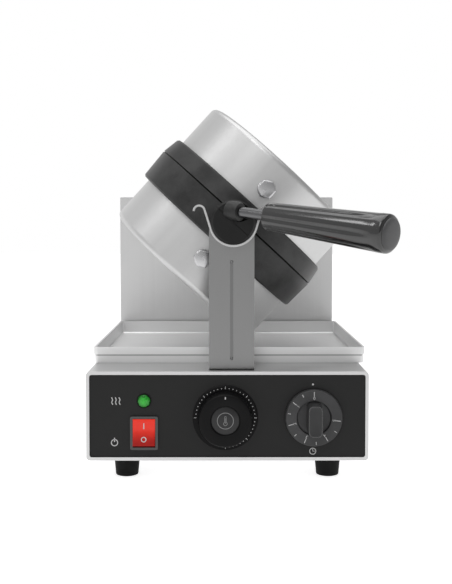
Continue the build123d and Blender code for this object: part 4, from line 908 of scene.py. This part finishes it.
end_rings = [(13.6, 0), (13.6, 0.4), (13.2, 1.2), (12.4, 1.7), (9.0, 2.1), (4.0, 2.35), (0.8, 2.4)]
end_cap = turned("grip_end_cap", handle_at(grip_start + grip_length), end_rings)
close(end_cap, "lid", cap_plastic, "grey_cap", "handle_end_cap")


# Hexagon bolts of the two covers
def hex_bolt():
    """One bolt at the origin: washer face, head with a rounded top, and shank."""
    washer_rings = [(8.6, 0), (8.6, 1.0), (8.2, 1.4), (4.0, 1.4)]
    washer = finished(turned("washer", origin, washer_rings, 40), plated_steel)
    head_rings = [(9.24, 1.2), (9.24, 5.4), (8.4, 6.1), (7.2, 6.4), (1.0, 6.4)]
    head = turned("head", Matrix.Rotation(radians(30), 4, "Z"), head_rings, 6)
    head = finished(head, plated_steel, bevel=0.35)
    shank = finished(turned("shank", origin, [(5.0, -15.0), (5.0, 1.0)], 24), plated_steel)
    return join([washer, head, shank], "hex_bolt")


bolt_start, seat_radius = -88.7, 93.55
for half, body, level in (("upper", "lid", 44.3), ("lower", "pan", -44.7)):
    seats = []
    for step in range(3):
        angle = radians(bolt_start + step * 120)
        outward = across * cos(angle) + Vector((0, sin(angle), 0))
        seats.append(frame_of(on_pan(0, 0, level) + outward * seat_radius * mm, normal, outward))
    bolts = f"{half}_hex_bolts"
    repeated(bolts, hex_bolt(), seats, body, "zinc_steel", f"{half}_cover_bolts")

# The pressed bead of the front support ends in a small round dimple at the top and at the bottom
dimple_rings = [(1.3, 0), (1.25, 0.5), (0.9, 0.85), (0.3, 0.95)]
dimple = finished(turned("dimple", origin, dimple_rings, 16), support_steel, 60)
dimple_places = [facing_front(support_x, -159.3, z) for z in bead_ends]
repeated("bead_dimples", dimple, dimple_places, "base", "brushed_steel")


# Screws with pan heads and a cross recess
def pan_head_screw(radius, height, shank_radius, length):
    """One screw at the origin: its head above and its shank below."""
    shank_rings = [(shank_radius * 0.7, -length), (shank_radius, 0.5 - length), (shank_radius, 0.2)]
    shank = finished(turned("shank", origin, shank_rings, 20), plated_steel)
    head_rings = [(radius, 0), (radius, height * 0.3), (radius * 0.93, height * 0.7)]
    head_rings += [(radius * 0.72, height), (0.3, height)]
    head = finished(turned("screw", origin, head_rings, 32), plated_steel)
    slot = bar(radius * 1.15, radius * 0.28, height)
    for turn in (0, pi / 2):
        lifted = Matrix.Translation((0, 0, height * 0.4 * mm))
        slot.matrix_world = lifted @ Matrix.Rotation(turn, 4, "Z")
        bpy.context.view_layer.update()
        cut = head.modifiers.new("cross", "BOOLEAN")
        cut.object = slot
        bpy.context.view_layer.objects.active = head
        bpy.ops.object.modifier_apply(modifier="cross")
    bpy.data.objects.remove(slot)
    return join([head, shank], "screw")


def place_screws(name, screw, places, node):
    repeated(name, screw, places, "base", "zinc_steel", node)


rearward = Matrix.Rotation(-pi / 2, 4, "X")
downward = Matrix.Rotation(pi, 4, "X")
cover_places = [standing(x, 171.2, z) @ rearward for x in (-123, 123) for z in (111.4, 264.5)]
cover_screw = pan_head_screw(3.9, 2.4, 2.0, 6.6)
place_screws("rear_cover_pan_screws", cover_screw, cover_places, "rear_cover_screws")
lip_places = [standing(x, y, 22.0) @ downward for x in (-120, 120) for y in (-113.33, 0, 113.33)]
place_screws("base_pan_screws", pan_head_screw(3.9, 2.4, 2.0, 6.3), lip_places, "base_screws")
flange_face = facing_front(shaft_x, 124.0, shaft_height)
flange_places = [spoke(flange_face, angle, 23.5) for angle in (45, 135, 225, 315)]
flange_screw = pan_head_screw(3.5, 2.4, 2.0, 11.4)
place_screws("bearing_pan_screws", flange_screw, flange_places, "bearing_screws")
toe_places = [standing(support_x + side * 11.0, -145.0, 106.4) for side in (-1, 1)]
place_screws("support_pan_screws", pan_head_screw(4.8, 2.5, 2.5, 9.2), toe_places, "support_screws")
sole_places = [standing(x, y, 9.0) @ downward for x, y in foot_places]
place_screws("foot_pan_screws", pan_head_screw(4.8, 2.5, 2.5, 21.4), sole_places, "foot_screws")

# Floor: it glows for the camera and, less, for glossy surfaces, so only shadows show on it
floor = Finish("pale_floor", (0.86, 0.86, 0.86), 0.8, Emission_Strength=1.0)
bpy.ops.object.select_all(action="DESELECT")
bpy.ops.mesh.primitive_plane_add(size=12.0, location=(0, 0, 0))
ground = bpy.context.object
ground.name = "floor"
ground.data.materials.append(floor.material)
seen = floor.node("ShaderNodeLightPath", output="Is Camera Ray")
seen = seen + floor.node("ShaderNodeLightPath", output="Is Glossy Ray") * 0.55
floor.set("Emission Color", floor.mix(seen, grey(0.0), grey(0.75)))

# Backdrop: white for the camera, and a room with a pale rear and left for glossy surfaces
world = bpy.data.worlds.new("studio")
bpy.context.scene.world = world
world.use_nodes = True


class Studio(Finish):
    """The world's nodes, made as a finish's are."""

    def __init__(self, tree):
        self.tree = tree


studio = Studio(world.node_tree)
direction = studio.node("ShaderNodeTexCoord", output="Generated")
right = studio.part(direction, "X")
rear = studio.part(direction, "Y")
up = studio.part(direction, "Z")
camera_ray = studio.node("ShaderNodeLightPath", output="Is Camera Ray")
glossy_ray = studio.node("ShaderNodeLightPath", output="Is Glossy Ray")
transmission_ray = studio.node("ShaderNodeLightPath", output="Is Transmission Ray")
horizon = rear.between(-0.2, 0.7) * (1 - up.between(0.25, 0.6))
room = 0.3 + horizon * 0.38 + (1 - right.between(-0.4, 0.35)) * 0.34
light = 0.5 + glossy_ray * (room - 0.5)
strength = light + camera_ray.highest(transmission_ray) * (1.0 - light)
background = world.node_tree.nodes["Background"]
background.inputs["Color"].default_value = (1, 1, 1, 1)
world.node_tree.links.new(strength.socket, background.inputs["Strength"])


def lamp_panel(name, place, target, size, power):
    """A soft light panel that points at a target, both in metres from the base's middle."""
    data = bpy.data.lights.new(name, "AREA")
    data.shape = "RECTANGLE"
    data.size, data.size_y = size
    data.energy = power
    panel = bpy.data.objects.new(name, data)
    bpy.context.scene.collection.objects.link(panel)
    panel.location = base_middle + Vector(place)
    panel.rotation_euler = (Vector(target) - Vector(place)).to_track_quat("-Z", "Y").to_euler()


# The side panel makes the long highlight on the grip and part of the streak on the covers
lamp_panel("key", (-0.22, -0.95, 1.2), (0, 0, 0.2), (0.4, 0.5), 2.0)
lamp_panel("side", (-1.0, -0.36, 1.27), (0, 0, 0.2), (0.13, 0.38), 0.9)
lamp_panel("fill", (1.5, -1.0, 0.7), (0, 0, 0.2), (1.2, 1.4), 0.4)
lamp_panel("top", (0.1, 0.0, 1.6), (0, 0, 0.1), (1.5, 1.5), 8)

# Camera, as the perspective of the photograph gives it, for a picture of 452 by 584 pixels
picture_width, focal_pixels, shift_pixels = 452, 953.75, -32.07
camera_tilt, camera_turn = 0.0407, -0.0028
camera = bpy.data.cameras.new("camera")
camera.sensor_fit = "HORIZONTAL"
camera.sensor_width = 36.0
camera.lens = focal_pixels * camera.sensor_width / picture_width
camera.shift_y = shift_pixels / picture_width
camera.clip_end = 50
eye = bpy.data.objects.new("camera", camera)
bpy.context.scene.collection.objects.link(eye)
eye.location = base_middle + Vector((-3.737, -1040.35, 242.4)) * mm
eye.rotation_euler = (pi / 2 - camera_tilt, 0, camera_turn)
bpy.context.scene.camera = eye

bpy.context.scene.view_settings.view_transform = "Standard"
